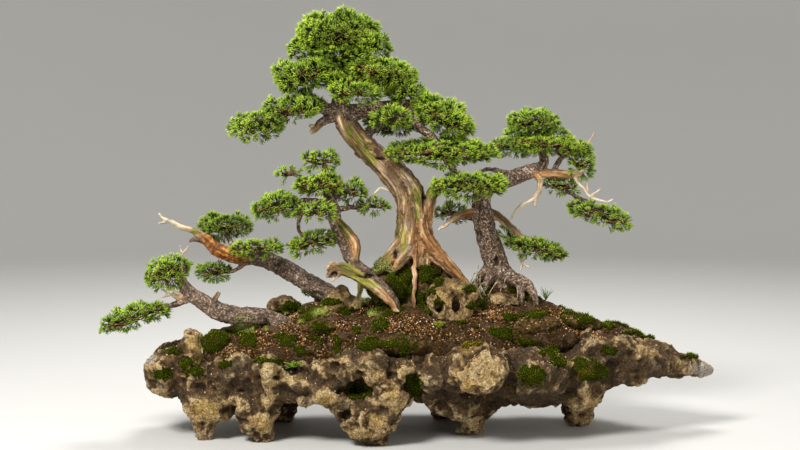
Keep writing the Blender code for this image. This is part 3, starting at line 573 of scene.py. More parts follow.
def weathering():
    """Turns a lump of stone into eroded limestone: scooped hollows with thin rims between, sharp ridges, pits
    and grit."""
    tree, size, result = geometry_tree(
        "weathering", swell_size=0.05, swell_height=0.008, scoop_size=0.02, scoop_depth=0.006,
        ridge_size=0.016, ridge_height=0.006, pit_size=0.009, pit_depth=0.004, grit_size=0.004,
        grit_height=0.001)
    place = add(tree, "GeometryNodeInputPosition")
    even = scaled(tree, place, size["scoop_size"])
    warp = add(tree, "ShaderNodeTexNoise", {"Vector": even, "Scale": 1.1, "Detail": 2.0})
    warped = add(tree, "ShaderNodeVectorMath", even, warp.outputs["Color"], operation="ADD")
    swell = add(tree, "MULTIPLY", swirls(tree, size["swell_size"], 2.0), size["swell_height"])
    scoop = add(tree, "ShaderNodeTexVoronoi", {"Vector": warped, "Scale": 1.0}, feature="F1")
    rim = add(tree, "SUBTRACT", add(tree, "POWER", scoop.outputs["Distance"], 2.0), 0.32)
    scoops = add(tree, "MULTIPLY", rim, size["scoop_depth"])
    away = add(tree, "ABSOLUTE", swirls(tree, size["ridge_size"], 3.0))
    ridges = add(tree, "MULTIPLY", add(tree, "SUBTRACT", 0.16, away), size["ridge_height"])
    first = pushed(tree, size["Geometry"], add(tree, "ADD", swell, add(tree, "ADD", scoops, ridges)))
    pit = add(tree, "ShaderNodeTexVoronoi", {"Vector": scaled(tree, warped, 0.42), "Scale": 1.0})
    where = add(tree, "ShaderNodeTexNoise", {"Vector": scaled(tree, place, size["pit_size"]), "Scale": 0.33})
    bowl = add(tree, "MULTIPLY", between(tree, pit.outputs["Distance"], 0.5, 0.12),
               between(tree, where, 0.52, 0.64))
    fine = add(tree, "MULTIPLY", swirls(tree, size["grit_size"], 3.0), size["grit_height"])
    sunk = add(tree, "SUBTRACT", fine, add(tree, "MULTIPLY", bowl, size["pit_depth"]))
    feed(tree, result, 0, pushed(tree, first, sunk))
    return tree


def fine_form(node, grain):
    """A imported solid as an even, fine mesh."""
    obj = cad_copy(node)
    modify(obj, "REMESH", mode="VOXEL", voxel_size=grain * MM)
    return settle(obj)


def thinned(obj, share):
    """Brings a mesh down to a share of its faces, where it is smooth."""
    modify(obj, "DECIMATE", ratio=share)
    return settle(obj)


def eroded(obj, tree, **sizes):
    """Weathers a stone, and stores how proud it stands: 1 on its sharpest rims, 0 in its deepest hollows."""
    run_tree(obj, tree, **sizes)
    proud = 0.5 + RIM_WEIGHT * standing_out(obj.data, 5) + SWELL_WEIGHT * standing_out(obj.data, 60)
    keep_attribute(obj.data, "proud", np.clip(proud, 0, 1))
    thinned(obj, ROCK_SHARE)


def make_rock(tree, stone):
    rock = fine_form("rock_slab", 1.2 * ROCK_GRAIN)
    carved(rock)
    modify(rock, "REMESH", mode="VOXEL", voxel_size=ROCK_GRAIN * MM)
    settle(rock)
    eroded(rock, tree, swell_size=0.045, swell_height=0.008, scoop_size=0.031, scoop_depth=0.0042,
           ridge_size=0.036, ridge_height=0.028, pit_size=0.0085, pit_depth=0.0012, grit_size=0.007,
           grit_height=0.0026)
    surface = surface_of(rock.data)
    for name, spots in ROCK_SPOTS.items():
        keep_attribute(rock.data, name, painted(rock.data, surface, spots))
    rock.data.materials.append(stone)
    return finished(rock, "weathered_slab", "rock", "rock_slab")


# How pale and how ochre each loose stone is
STONE_TONES = {"root_stone": (-0.3, 0.0), "pierced_stone": (0.45, 0.5), "left_stone": (0.2, 0.3),
               "middle_stone": (0.45, 0.55), "right_stone": (0.6, 0.2)}


def make_stones(tree, stone):
    made = []
    for name, tones in STONE_TONES.items():
        obj = fine_form(name, STONE_GRAIN)
        eroded(obj, tree, swell_size=0.02, swell_height=0.003, scoop_size=0.014, scoop_depth=0.0026,
               ridge_size=0.012, ridge_height=0.004, pit_size=0.007, pit_depth=0.0006, grit_size=0.003,
               grit_height=0.0005)
        for label, tone in zip(("pale", "ochre"), tones):
            keep_attribute(obj.data, label, np.full(len(obj.data.vertices), tone))
        obj.data.materials.append(stone)
        made.append(finished(obj, name.replace("stone", "rockwork"), "stones", name))
    return made


# Ground: what the photograph shows at each (px, row, half width, half height)

GRAVEL = [
    (288, 318, 12, 10), (306, 330, 20, 6), (304, 340, 8, 8), (330, 338, 6, 7), (344, 325, 12, 6),
    (402, 322, 22, 9), (420, 327, 20, 8), (362, 310, 6, 5), (258, 338, 16, 9), (352, 341, 6, 5),
    (494, 314, 19, 8), (466, 318, 12, 4), (526, 326, 16, 9), (560, 318, 16, 7), (576, 330, 14, 9),
    (594, 338, 12, 8), (548, 336, 10, 6), (440, 336, 12, 4), (290, 364, 8, 4), (225, 350, 8, 6),
    (322, 356, 8, 6), (388, 326, 10, 6), (512, 340, 8, 5), (618, 342, 8, 6), (476, 332, 8, 5),
    (246, 352, 14, 5),
]
MOSS_PATCHES = [
    (549, 296, 10, 4), (536, 300, 6, 4), (314, 313, 14, 7), (303, 320, 9, 4), (371, 314, 10, 4),
    (380, 326, 10, 8), (310, 335, 6, 6), (320, 329, 11, 4), (280, 337, 8, 5), (290, 344, 9, 6),
    (299, 350, 6, 4), (320, 343, 6, 5), (337, 345, 6, 11), (357, 331, 7, 5), (262, 361, 8, 4),
    (280, 361, 9, 4), (248, 340, 11, 8), (367, 346, 14, 6), (404, 349, 7, 5), (500, 331, 12, 6),
    (508, 338, 6, 5), (514, 318, 15, 5), (536, 314, 13, 5), (478, 327, 5, 3), (461, 325, 6, 5),
    (557, 302, 14, 6), (569, 310, 9, 4), (589, 318, 11, 6), (526, 342, 12, 5), (549, 351, 11, 7),
    (558, 362, 9, 6), (608, 326, 9, 5), (608, 351, 10, 6), (651, 337, 12, 3), (690, 357, 12, 3),
    (164, 374, 10, 7), (175, 352, 10, 4), (186, 362, 8, 6), (210, 325, 12, 4), (196, 372, 12, 7),
    (224, 365, 9, 5), (360, 393, 16, 10), (414, 386, 10, 12), (404, 350, 6, 7), (398, 292, 10, 12),
    (408, 278, 10, 10), (436, 272, 9, 5), (385, 300, 12, 7), (346, 311, 8, 5), (330, 302, 12, 4),
    (468, 289, 8, 4), (471, 306, 5, 5), (440, 301, 6, 4), (484, 303, 6, 8), (545, 300, 8, 3),
    (632, 333, 10, 3), (590, 312, 9, 4), (420, 300, 6, 8), (395, 312, 12, 5), (428, 312, 6, 4),
    (532, 378, 12, 7), (372, 340, 8, 4), (388, 345, 14, 5), (390, 308, 16, 6), (304, 354, 9, 4),
    (240, 332, 16, 4), (291, 306, 9, 5), (281, 310, 9, 3), (322, 330, 12, 5), (288, 340, 12, 7),
    (425, 278, 8, 7), (440, 283, 5, 6), (405, 268, 6, 5), (412, 291, 9, 5), (432, 292, 6, 4),
    (396, 272, 8, 6), (512, 290, 5, 4), (527, 296, 4, 5), (378, 275, 6, 5), (392, 280, 8, 6),
    (448, 265, 6, 5), (425, 268, 7, 6),
]
PALE_MOSS = [
    (248, 327, 17, 4), (286, 313, 4, 2), (365, 302, 8, 4), (382, 268, 5, 5), (321, 313, 8, 5),
    (266, 330, 4, 3), (372, 314, 6, 3), (298, 322, 6, 3),
]
LICHEN = [(384, 265, 8, 6), (375, 271, 5, 3), (392, 270, 4, 3), (458, 285, 7, 4), (243, 318, 10, 3)]
ROOT_MOSS = [
    (365, 292, 3, 7), (486, 291, 7, 6), (500, 298, 8, 3), (384, 252, 5, 4), (230, 304, 12, 2),
    (306, 292, 8, 3),
]
YELLOW_MOSS = [(472, 344, 12, 3), (586, 372, 8, 3), (466, 346, 6, 3), (510, 386, 4, 3)]
# How fully each cushion of moss is grown over outside the patches, where mud shows between the tufts
MOSS_NODES = {
    "moss_left_cushion": 1.1, "moss_left_edge": 0.4, "moss_front_band": 0.15, "moss_centre_slope": 0.1,
    "moss_right_slope": 0.0, "moss_right_cushion": 0.8, "moss_front_cushion": 0.8, "moss_crest": 0.2,
    "moss_root_mound": 0.15,
}
# Earth heaped between the roots: the middle and the half sizes, in the frame of the routes
MOUNDS = [
    (8, 8, 188, 56, 30, 38), (134, 20, 172, 30, 18, 24), (-158, 0, 150, 24, 14, 10),
    (174, -50, 128, 46, 22, 19), (-222, -12, 128, 34, 18, 11),
]
BACK_PATCHES = 26
STRAY_GRANULES = 0.2     # how densely granules lie outside their beds
GRANULE_SHAPES = 4
GRAIN_OF_CLAY = 2.3      # size of the granules that are only coloured on the soil, in millimetres
GRANULE_SPACING = 1.9
MOSS_LIFT = 3.4          # how far a patch of moss stands proud, in millimetres
MOSS_BASE = 2.4          # how thick it is under its shoots
FIBRE_LENGTH = 3.0
FIBRE_SPACING = 1.7
MOSS_SIZES = dict(spacing=FIBRE_SPACING * MM, seed=SEED, least=0.6, most=1.3, jitter=0.45, upright=0.5)
MOSS_RAGS = 6.5          # how long the rags of a patch's edge are
BARE_DEPTH = 2.4         # how much lower a cushion is where mud shows
ALL_MOSS = MOSS_PATCHES + PALE_MOSS + YELLOW_MOSS


def lumpy_ground():
    """Makes soil uneven: broad humps, clods and crumbs."""
    tree, size, result = geometry_tree("lumpy_ground", hump_size=0.034, hump_height=0.0045, clod_size=0.011,
                                       clod_height=0.0026, crumb_size=0.0045, crumb_height=0.001)
    humps, clods, crumbs = (add(tree, "MULTIPLY", swirls(tree, size[label + "_size"], 1.0),
                                size[label + "_height"]) for label in ("hump", "clod", "crumb"))
    moved = pushed(tree, size["Geometry"], add(tree, "ADD", humps, add(tree, "ADD", clods, crumbs)))
    relief = add(tree, "MULTIPLY_ADD", clods, 220.0, 0.5)
    feed(tree, result, 0, add(tree, "GeometryNodeStoreNamedAttribute", {
        "Geometry": moved, "Name": "relief", "Value": relief}, data_type="FLOAT", domain="POINT"))
    return tree


def points_on(tree, size, share):
    """Random points on the surface, no closer than the spacing, and as dense as the share says."""
    density = add(tree, "DIVIDE", 2.0, add(tree, "MULTIPLY", size["spacing"], size["spacing"]))
    return add(tree, "GeometryNodeDistributePointsOnFaces", {
        "Mesh": size["Geometry"], "Distance Min": size["spacing"], "Density Max": density,
        "Density Factor": share, "Seed": size["seed"]}, distribute_method="POISSON")


def planted(tree, size, points, way, last_kind, growth=None):
    """Shapes on points, each of any kind, turn and size, near its way, and with a tint of its own."""
    back = add(tree, "MULTIPLY", size["jitter"], -1.0)
    lows, highs = (add(tree, "ShaderNodeCombineXYZ", far, far, far) for far in (back, size["jitter"]))
    stray, spin, luck, pick, tint = (
        add(tree, "FunctionNodeRandomValue", {"Min": low, "Max": high, "Seed": seed}, data_type=kind)
        for kind, low, high, seed in (
            ("FLOAT_VECTOR", lows, highs, size["seed"]), ("FLOAT", 0.0, math.tau, 3),
            ("FLOAT", size["least"], size["most"], 5), ("INT", 0, last_kind, 7), ("FLOAT", 0.0, 1.0, 9)))
    way = add(tree, "ShaderNodeVectorMath", way, stray, operation="ADD")
    facing = add(tree, "FunctionNodeAlignRotationToVector", {"Vector": way}, axis="Z")
    spun = add(tree, "FunctionNodeAxisAngleToRotation", {"Axis": (0, 0, 1), "Angle": spin})
    turned = add(tree, "FunctionNodeRotateRotation", {"Rotation": facing, "Rotate By": spun},
                 rotation_space="LOCAL")
    shapes = add(tree, "GeometryNodeCollectionInfo", {"Collection": size["shapes"],
                                                      "Separate Children": True})
    copies = add(tree, "GeometryNodeInstanceOnPoints", {
        "Points": points, "Instance": shapes, "Pick Instance": True, "Instance Index": pick,
        "Rotation": turned, "Scale": add(tree, "MULTIPLY", growth, luck) if growth else luck})
    tinted = add(tree, "GeometryNodeStoreNamedAttribute", {"Geometry": copies, "Name": "tint", "Value": tint},
                 data_type="FLOAT", domain="INSTANCE")
    real = add(tree, "GeometryNodeRealizeInstances", {"Geometry": tinted})
    return add(tree, "GeometryNodeSetMaterial", {"Geometry": real, "Material": size["shape_finish"]})


def strewn():
    """Strews or plants small shapes over a surface, as densely as its attribute "cover" says."""
    tree, size, result = geometry_tree(
        "strewn", spacing=0.002, seed=1, least=0.7, most=1.2, jitter=0.4, upright=0.0, keep_surface=False,
        surface_finish="Material", shape_finish="Material", shapes="Collection")
    points = points_on(tree, size, stored(tree, "cover"))
    raise_up = add(tree, "ShaderNodeCombineXYZ", {"Z": size["upright"]})
    way = add(tree, "ShaderNodeVectorMath", points.outputs["Normal"], raise_up, operation="ADD")
    surface = add(tree, "GeometryNodeSetMaterial", {"Geometry": size["Geometry"],
                                                    "Material": size["surface_finish"]})
    kept = add(tree, "GeometryNodeSwitch", {"Switch": size["keep_surface"], "True": surface},
               input_type="GEOMETRY")
    give_all(tree, result, kept, planted(tree, size, points, way, 100))
    return tree


def shapes_of(meshes):
    """A collection of small shapes to strew."""
    made = bpy.data.collections.new("shapes")
    for mesh in meshes:
        made.objects.link(bpy.data.objects.new(mesh.name, mesh))
    return made


def dropped(collection):
    for shape in list(collection.objects):
        bpy.data.objects.remove(shape)
    bpy.data.collections.remove(collection)


def granule(index):
    """A crumb of fired clay with six faces."""
    bm = bmesh.new()
    ring = [bm.verts.new((1.7 * MM * math.cos(turn), 1.7 * MM * math.sin(turn), 0))
            for turn in (0.2, 2.3, 4.4)]
    top, bottom = bm.verts.new((0, 0, 1.4 * MM)), bm.verts.new((0, 0, -1.0 * MM))
    for corner in range(3):
        after = (corner + 1) % 3
        bm.faces.new((ring[corner], ring[after], top))
        bm.faces.new((ring[after], ring[corner], bottom))
    for vertex in bm.verts:
        vertex.co += Vector([draw.uniform(-0.4, 0.4) * MM for _ in range(3)])
    return mesh_of(bm, f"granule_{index}")


def fibre(index):
    """A shoot of moss: a slim spike that leans a little."""
    bm = bmesh.new()
    layer = bm.verts.layers.float.new("tip")
    ring = [bm.verts.new((0.62 * MM * math.cos(turn), 0.62 * MM * math.sin(turn), -0.3 * MM))
            for turn in (0.0, 2.1, 4.2)]
    point = bm.verts.new((draw.uniform(-0.5, 0.5) * MM, draw.uniform(-0.5, 0.5) * MM, FIBRE_LENGTH * MM))
    point[layer] = 1.0
    bm.faces.new(ring[::-1])
    for corner in range(3):
        bm.faces.new((ring[corner], ring[(corner + 1) % 3], point))
    return mesh_of(bm, f"fibre_{index}")


def wet_mud():
    """Clay mud between the stones: dark brown in its hollows and darker still there with painted shade,
    pinkish grey where a clod has dried, and with the colours of granules in their beds, with painted shade in
    the gaps between them."""
    made, tree, shader = finish("clay_mud", 0.95, 0.2)
    broad = grained(tree, 26, 3.0, 0.6)
    middle = grained(tree, 8, 3.0, 0.6)
    fine = grained(tree, 2.6, 4.0, 0.68)
    relief = stored(tree, "relief")
    dark = spread_ramp(tree, fine, (0.3, "160e04"), (0.48, "33220e"), (0.66, "573f20"))
    dried = spread_ramp(tree, fine, (0.3, "2f2216"), (0.48, "4d3a28"), (0.66, "735b42"))
    share = add(tree, "ADD", add(tree, "MULTIPLY_ADD", broad, 2.6, -1.3), relief)
    colour = blended(tree, between(tree, share, 0.5, 1.0), dark, dried)
    place = add(tree, "ShaderNodeTexCoord").outputs["Object"]
    grains = add(tree, "ShaderNodeTexVoronoi", {"Vector": place, "Scale": 1000.0 / GRAIN_OF_CLAY})
    kind = add(tree, "ShaderNodeSeparateColor", {"Color": grains.outputs["Color"]}).outputs["Red"]
    gritty = spread_ramp(tree, kind, (0.0, "1c1004"), (0.3, "44290b"), (0.6, "704a18"), (0.82, "9c7036"),
                         (1.0, "d2b286"))
    # Painted shade in the gaps between the granules that are only coloured on the soil
    gap = between(tree, grains.outputs["Distance"], 0.3, 0.65)
    gritty = blended(tree, add(tree, "MULTIPLY", gap, 0.85), gritty, "180e04")
    ragged = add(tree, "ADD", stored(tree, "bed"), add(tree, "MULTIPLY_ADD", middle, 1.6, -0.8))
    bed = between(tree, ragged, 0.02, 0.3)
    colour = blended(tree, bed, colour, gritty)
    # Painted shade: the hollows between the clods are darkened nearly to black
    colour = blended(tree, between(tree, relief, 0.42, 0.1, 0.8), colour, "140d06")
    feed(tree, shader, "Base Color", colour)
    raised(tree, shader, add(tree, "SUBTRACT", fine, add(tree, "MULTIPLY", gap, bed)), 1.8)
    return made


def fired_clay():
    """Granules of fired clay and pumice: orange brown, tan and nearly white, each of one colour."""
    made, tree, shader = finish("fired_clay_granules", 0.85, 0.3)
    colour = spread_ramp(tree, stored(tree, "tint"), (0.0, "3c230c"), (0.22, "703f14"), (0.45, "a06425"),
                         (0.65, "bf8443"), (0.84, "d6ad78"), (1.0, "f4e2c2"))
    feed(tree, shader, "Base Color", colour)
    return made


def soft_moss():
    """Cushion moss: nearly black green inside, vivid at its tips, with pale and yellow kinds among it."""
    made, tree, shader = finish("cushion_moss", 0.9, 0.04)
    tip = stored(tree, "tip")
    green = spread_ramp(tree, tip, (0.0, "232900"), (0.5, "586404"), (1.0, "a9ba26"))
    deep = spread_ramp(tree, tip, (0.0, "151800"), (0.5, "363c02"), (1.0, "67720f"))
    drift = add(tree, "MULTIPLY", grained(tree, 18, 3.0, 0.6), 2.0)
    luck = add(tree, "ADD", drift, stored(tree, "tint"))
    colour = blended(tree, between(tree, luck, 1.1, 1.75), green, deep)
    pale = spread_ramp(tree, tip, (0.0, "848a38"), (1.0, "e8ee96"))
    colour = blended(tree, stored(tree, "paleness"), colour, pale)
    yellow = spread_ramp(tree, tip, (0.0, "3f3808"), (1.0, "b09a24"))
    colour = blended(tree, stored(tree, "yellowness"), colour, yellow)
    litter = between(tree, grained(tree, 5.0, 3.0, 0.65), 0.55, 0.68, 0.55)
    colour = blended(tree, litter, colour, "4c3d1d")
    soil = spread_ramp(tree, grained(tree, 3.0, 4.0, 0.68), (0.32, "1f150a"), (0.5, "49371f"),
                       (0.68, "75603f"))
    colour = blended(tree, between(tree, stored(tree, "bare"), 0.35, 0.75), colour, soil)
    feed(tree, shader, "Base Color", colour)
    return made


def sheet_of(surfaces, shares, name):
    """The parts of some surfaces where a share is above nothing, raised by it, as an open sheet."""
    bm = bmesh.new()
    layer = bm.verts.layers.float.new("share")
    for mesh, share in zip(surfaces, shares):
        normals = [vertex.normal.copy() for vertex in mesh.vertices]
        kept = {}
        for polygon in mesh.polygons:
            if all(share[place] > 0.02 for place in polygon.vertices):
                corners = []
                for place in polygon.vertices:
                    if place not in kept:
                        lift = (MOSS_LIFT * min(1.0, 1.8 * share[place]) ** 0.5 - 1.2) * MM
                        kept[place] = bm.verts.new(mesh.vertices[place].co + normals[place] * lift)
                        kept[place][layer] = share[place]
                    corners.append(kept[place])
                bm.faces.new(corners)
    return link(name, mesh_of(bm, name))


def plant_moss(obj, fibres, **sizes):
    """Plants shoots of moss on a surface, as densely as its cover says."""
    moss = bpy.data.materials["cushion_moss"]
    run_tree(obj, bpy.data.node_groups["strewn"], shapes=fibres, shape_finish=moss, surface_finish=moss,
             **{**MOSS_SIZES, **sizes})


def strew_granules(grounds, surface):
    """Strews granules on what is level and bare, mostly in the beds that the photograph shows."""
    beds = []
    for mesh in grounds:
        beds.append(link("bed", mesh.copy()))
        if "bare" not in mesh.attributes:
            keep_attribute(beds[-1].data, "bare", np.ones(len(mesh.vertices)))
    bed = joined(beds)
    bed.data.materials.clear()
    level = np.clip((normals_of(bed.data)[:, 2] - 0.3) / 0.3, 0, 1)
    patchy = np.clip(0.75 + jagged(corners_of(bed.data), 9), 0, 1)
    bare = np.empty(len(bed.data.vertices), np.float32)
    bed.data.attributes["bare"].data.foreach_get("value", bare)
    share = np.maximum(painted(bed.data, surface, GRAVEL), STRAY_GRANULES)
    keep_attribute(bed.data, "cover", level * patchy * bare * share)
    granules = shapes_of([granule(index) for index in range(GRANULE_SHAPES)])
    run_tree(bed, bpy.data.node_groups["strewn"], spacing=GRANULE_SPACING * MM, seed=SEED, least=0.4,
             most=1.1, jitter=1.0, shapes=granules, shape_finish=fired_clay())
    finished(bed, "clay_granules", "soil")
    dropped(granules)


def make_ground(slab, stones):
    """The soil, its granules, and moss on soil and stone."""
    mud, moss = wet_mud(), soft_moss()
    soil = fine_form("soil", SOIL_GRAIN)
    run_tree(soil, lumpy_ground())
    thinned(soil, ROCK_SHARE)
    keep_attribute(soil.data, "bed", painted(soil.data, surface_of(soil.data), GRAVEL))
    soil.data.materials.append(mud)
    finished(soil, "clay_soil", "soil", "soil")
    earth = earth_mounds()
    earth.data.materials.append(mud)
    finished(earth, "earth_between_roots", "soil")
    cushions = {name: moss_cushion(name) for name in MOSS_NODES}
    grounds = [soil.data, slab.data, earth.data]
    strewn()
    strew_granules(grounds + [cushion.data for cushion in cushions.values()], surface_of(*grounds))

    grounds += [stone.data for stone in stones]
    surface = surface_of(*grounds)
    luck = np.random.default_rng(SEED + 1)
    shares = [np.maximum(moss_share(mesh, surface, ALL_MOSS), back_share(mesh, luck)) for mesh in grounds]
    sheet = sheet_of(grounds, shares, "moss_sheet")
    fibres = shapes_of([fibre(index) for index in range(3)])
    solid = link("moss_base", sheet.data.copy())
    modify(solid, "SOLIDIFY", thickness=MOSS_BASE * MM, offset=-1.0)
    settle(solid)
    solid.data.materials.append(moss)
    keep_attribute(sheet.data, "cover", np.ones(len(sheet.data.vertices)))
    plant_moss(sheet, fibres)
    patches = joined([sheet, solid])
    finished(patches, "moss_patches", "moss")
    paint_moss(patches, surface)

    for name, cushion in cushions.items():
        plant_moss(cushion, fibres, keep_surface=True)
        finished(cushion, name.replace("moss_", "") + "_moss", "moss", name)
        paint_moss(cushion, surface)
    dropped(fibres)


def earth_mounds():
    """Heaps of earth under the trees, which their roots grip."""
    bm = bmesh.new()
    for x, y, z, *half in MOUNDS:
        shape = Matrix.Diagonal((*[reach * MM for reach in half], 1))
        place = Matrix.Translation((Vector((x, y, z)) + ROUTE_SHIFT) * MM) @ shape
        bmesh.ops.create_icosphere(bm, subdivisions=4, radius=1.0, matrix=place)
    earth = link("earth_form", mesh_of(bm, "earth"))
    return run_tree(earth, bpy.data.node_groups["lumpy_ground"], hump_size=0.024, hump_height=0.009)


def moss_cushion(name):
    """A packed cushion as an uneven heap, grown over where the photograph shows moss on it."""
    cushion = fine_form(name, MOSS_GRAIN)
    run_tree(cushion, bpy.data.node_groups["lumpy_ground"], hump_size=0.022, hump_height=0.006,
             clod_size=0.01, clod_height=0.0034, crumb_height=0.0006)
    points = corners_of(cushion.data)
    share = moss_share(cushion.data, surface_of(cushion.data), ALL_MOSS)
    grown = np.clip(MOSS_NODES[name] + 2.2 * share + 0.9 * jagged(points, 13), 0, 1)
    put_corners(cushion.data, points - normals_of(cushion.data) * ((1 - grown) * BARE_DEPTH * MM)[:, None])
    keep_attribute(cushion.data, "cover", grown)
    keep_attribute(cushion.data, "bare", 1 - grown)
    return thinned(cushion, ROCK_SHARE)


def moss_share(mesh, surface, spots):
    """How thick moss grows at each vertex, from 0 to 1, with a ragged edge."""
    points = corners_of(mesh).astype(float)
    jag = jagged(points, MOSS_RAGS)
    share = np.zeros(len(points))
    for spot in spots:
        share = np.maximum(share, np.clip(spot_share(points, surface, spot) + 0.5 * jag + 0.1, 0, 1))
    return share


def back_share(mesh, luck):
    """Patches of moss on the side that the photograph doesn't show."""
    points = corners_of(mesh).astype(float)
    jag = jagged(points, MOSS_RAGS)
    upper = (normals_of(mesh)[:, 2] > 0.2) & (points[:, 2] > 40 * MM)
    behind = np.flatnonzero(upper & (points[:, 1] > 20 * MM))
    share = np.zeros(len(points))
    if len(behind):
        for _ in range(max(1, round(BACK_PATCHES * min(1.0, len(behind) / 3000)))):
            at = points[luck.choice(behind)]
            far = np.linalg.norm((points - at) / (1.5, 1.0, 1.0), axis=1) / (luck.uniform(8, 17) * MM)
            share = np.maximum(share, np.clip(1 - far + 0.35 * jag, 0, 1))
    return share


def paint_moss(obj, surface):
    """Stores where moss is of the pale or the yellow kind."""
    for name, spots in (("paleness", PALE_MOSS + LICHEN), ("yellowness", YELLOW_MOSS)):
        keep_attribute(obj.data, name, painted(obj.data, surface, spots))


def make_root_moss(trees):
    """Moss and pale lichen on roots, and on the leg of the fallen log."""
    surface = surface_of(*[obj.data for obj in trees])
    shares = [moss_share(obj.data, surface, ROOT_MOSS + LICHEN) for obj in trees]
    sheet = sheet_of([obj.data for obj in trees], shares, "root_moss_sheet")
    fibres = shapes_of([fibre(index) for index in range(3)])
    keep_attribute(sheet.data, "cover", np.ones(len(sheet.data.vertices)))
    plant_moss(sheet, fibres, spacing=0.8 * FIBRE_SPACING * MM, least=0.5, most=1.4, jitter=0.9, upright=0.3)
    finished(sheet, "root_moss", "moss")
    paint_moss(sheet, surface)
    dropped(fibres)


# Wood: each route is a list of (x, y, z, radius), with a letter for the finish at each point or one for all:
# b flaky bark, w patches of it, s smoother bark, v smooth pinkish bark, l live wood peeled to its orange
# layer, r the same with rust brown flakes, t half peeled with a little rust, d deadwood, and g deadwood with
# algae. Each stands for so much of every finish in FINISH_NAMES

FINISHES = {"b": (1, 0, 0, 0), "v": (1, 0, 0, 1), "l": (0, 1, 0, 0), "r": (0, 1, 0, 1), "d": (0, 0, 0, 0),
            "g": (0, 0, 1, 0), "s": (1, 0, 0, 0.6), "w": (0.4, 0, 0, 0), "t": (0, 0.6, 0, 0.5)}
FINISH_NAMES = ("bark", "live", "algae", "smooth")

# Where the photograph shows more of a finish, a hollow, or painted shade on the upper trunk under the crown,
# at (px, row, half width, half height)
WOOD_SPOTS = {
    "main_tree": {
        "live": [(420, 238, 9, 20), (428, 222, 5, 22), (440, 258, 14, 9), (413, 275, 5, 18),
                 (394, 262, 5, 5)],
        "algae": [(417, 196, 6, 12), (430, 191, 6, 9), (404, 240, 3, 16), (386, 250, 8, 12),
                  (371, 158, 7, 10), (398, 226, 2, 16), (366, 148, 4, 12), (417, 216, 3, 12),
                  (350, 132, 4, 12), (358, 142, 4, 10)],
        "hollow": [(382, 158, 6, 2), (395, 254, 2, 5), (411, 261, 2, 5), (424, 200, 2, 10)],
        "dull": [(393, 172, 10, 14), (404, 186, 6, 8), (376, 152, 6, 6)],
    },
    "centre_tree": {
        "live": [(390, 297, 9, 4), (380, 290, 8, 3), (354, 246, 4, 12)],
        "algae": [(345, 266, 8, 7), (357, 273, 8, 5), (341, 228, 5, 9), (346, 236, 4, 6), (366, 280, 8, 4)],
        "hollow": [(334, 274, 4, 3), (366, 276, 10, 2), (352, 281, 9, 2)],
    },
    "left_tree": {"live": [(212, 243, 18, 10), (224, 252, 14, 8)], "algae": [(196, 231, 6, 4)],
                  "smooth": [(212, 243, 20, 12), (226, 253, 14, 8)]},
    "low_tree": {"algae": [(232, 312, 10, 5), (250, 312, 12, 4)]},
    "right_tree": {"live": [(540, 174, 12, 4)], "algae": [(500, 282, 6, 6)], "hollow": [(497, 262, 3, 5)]},
}

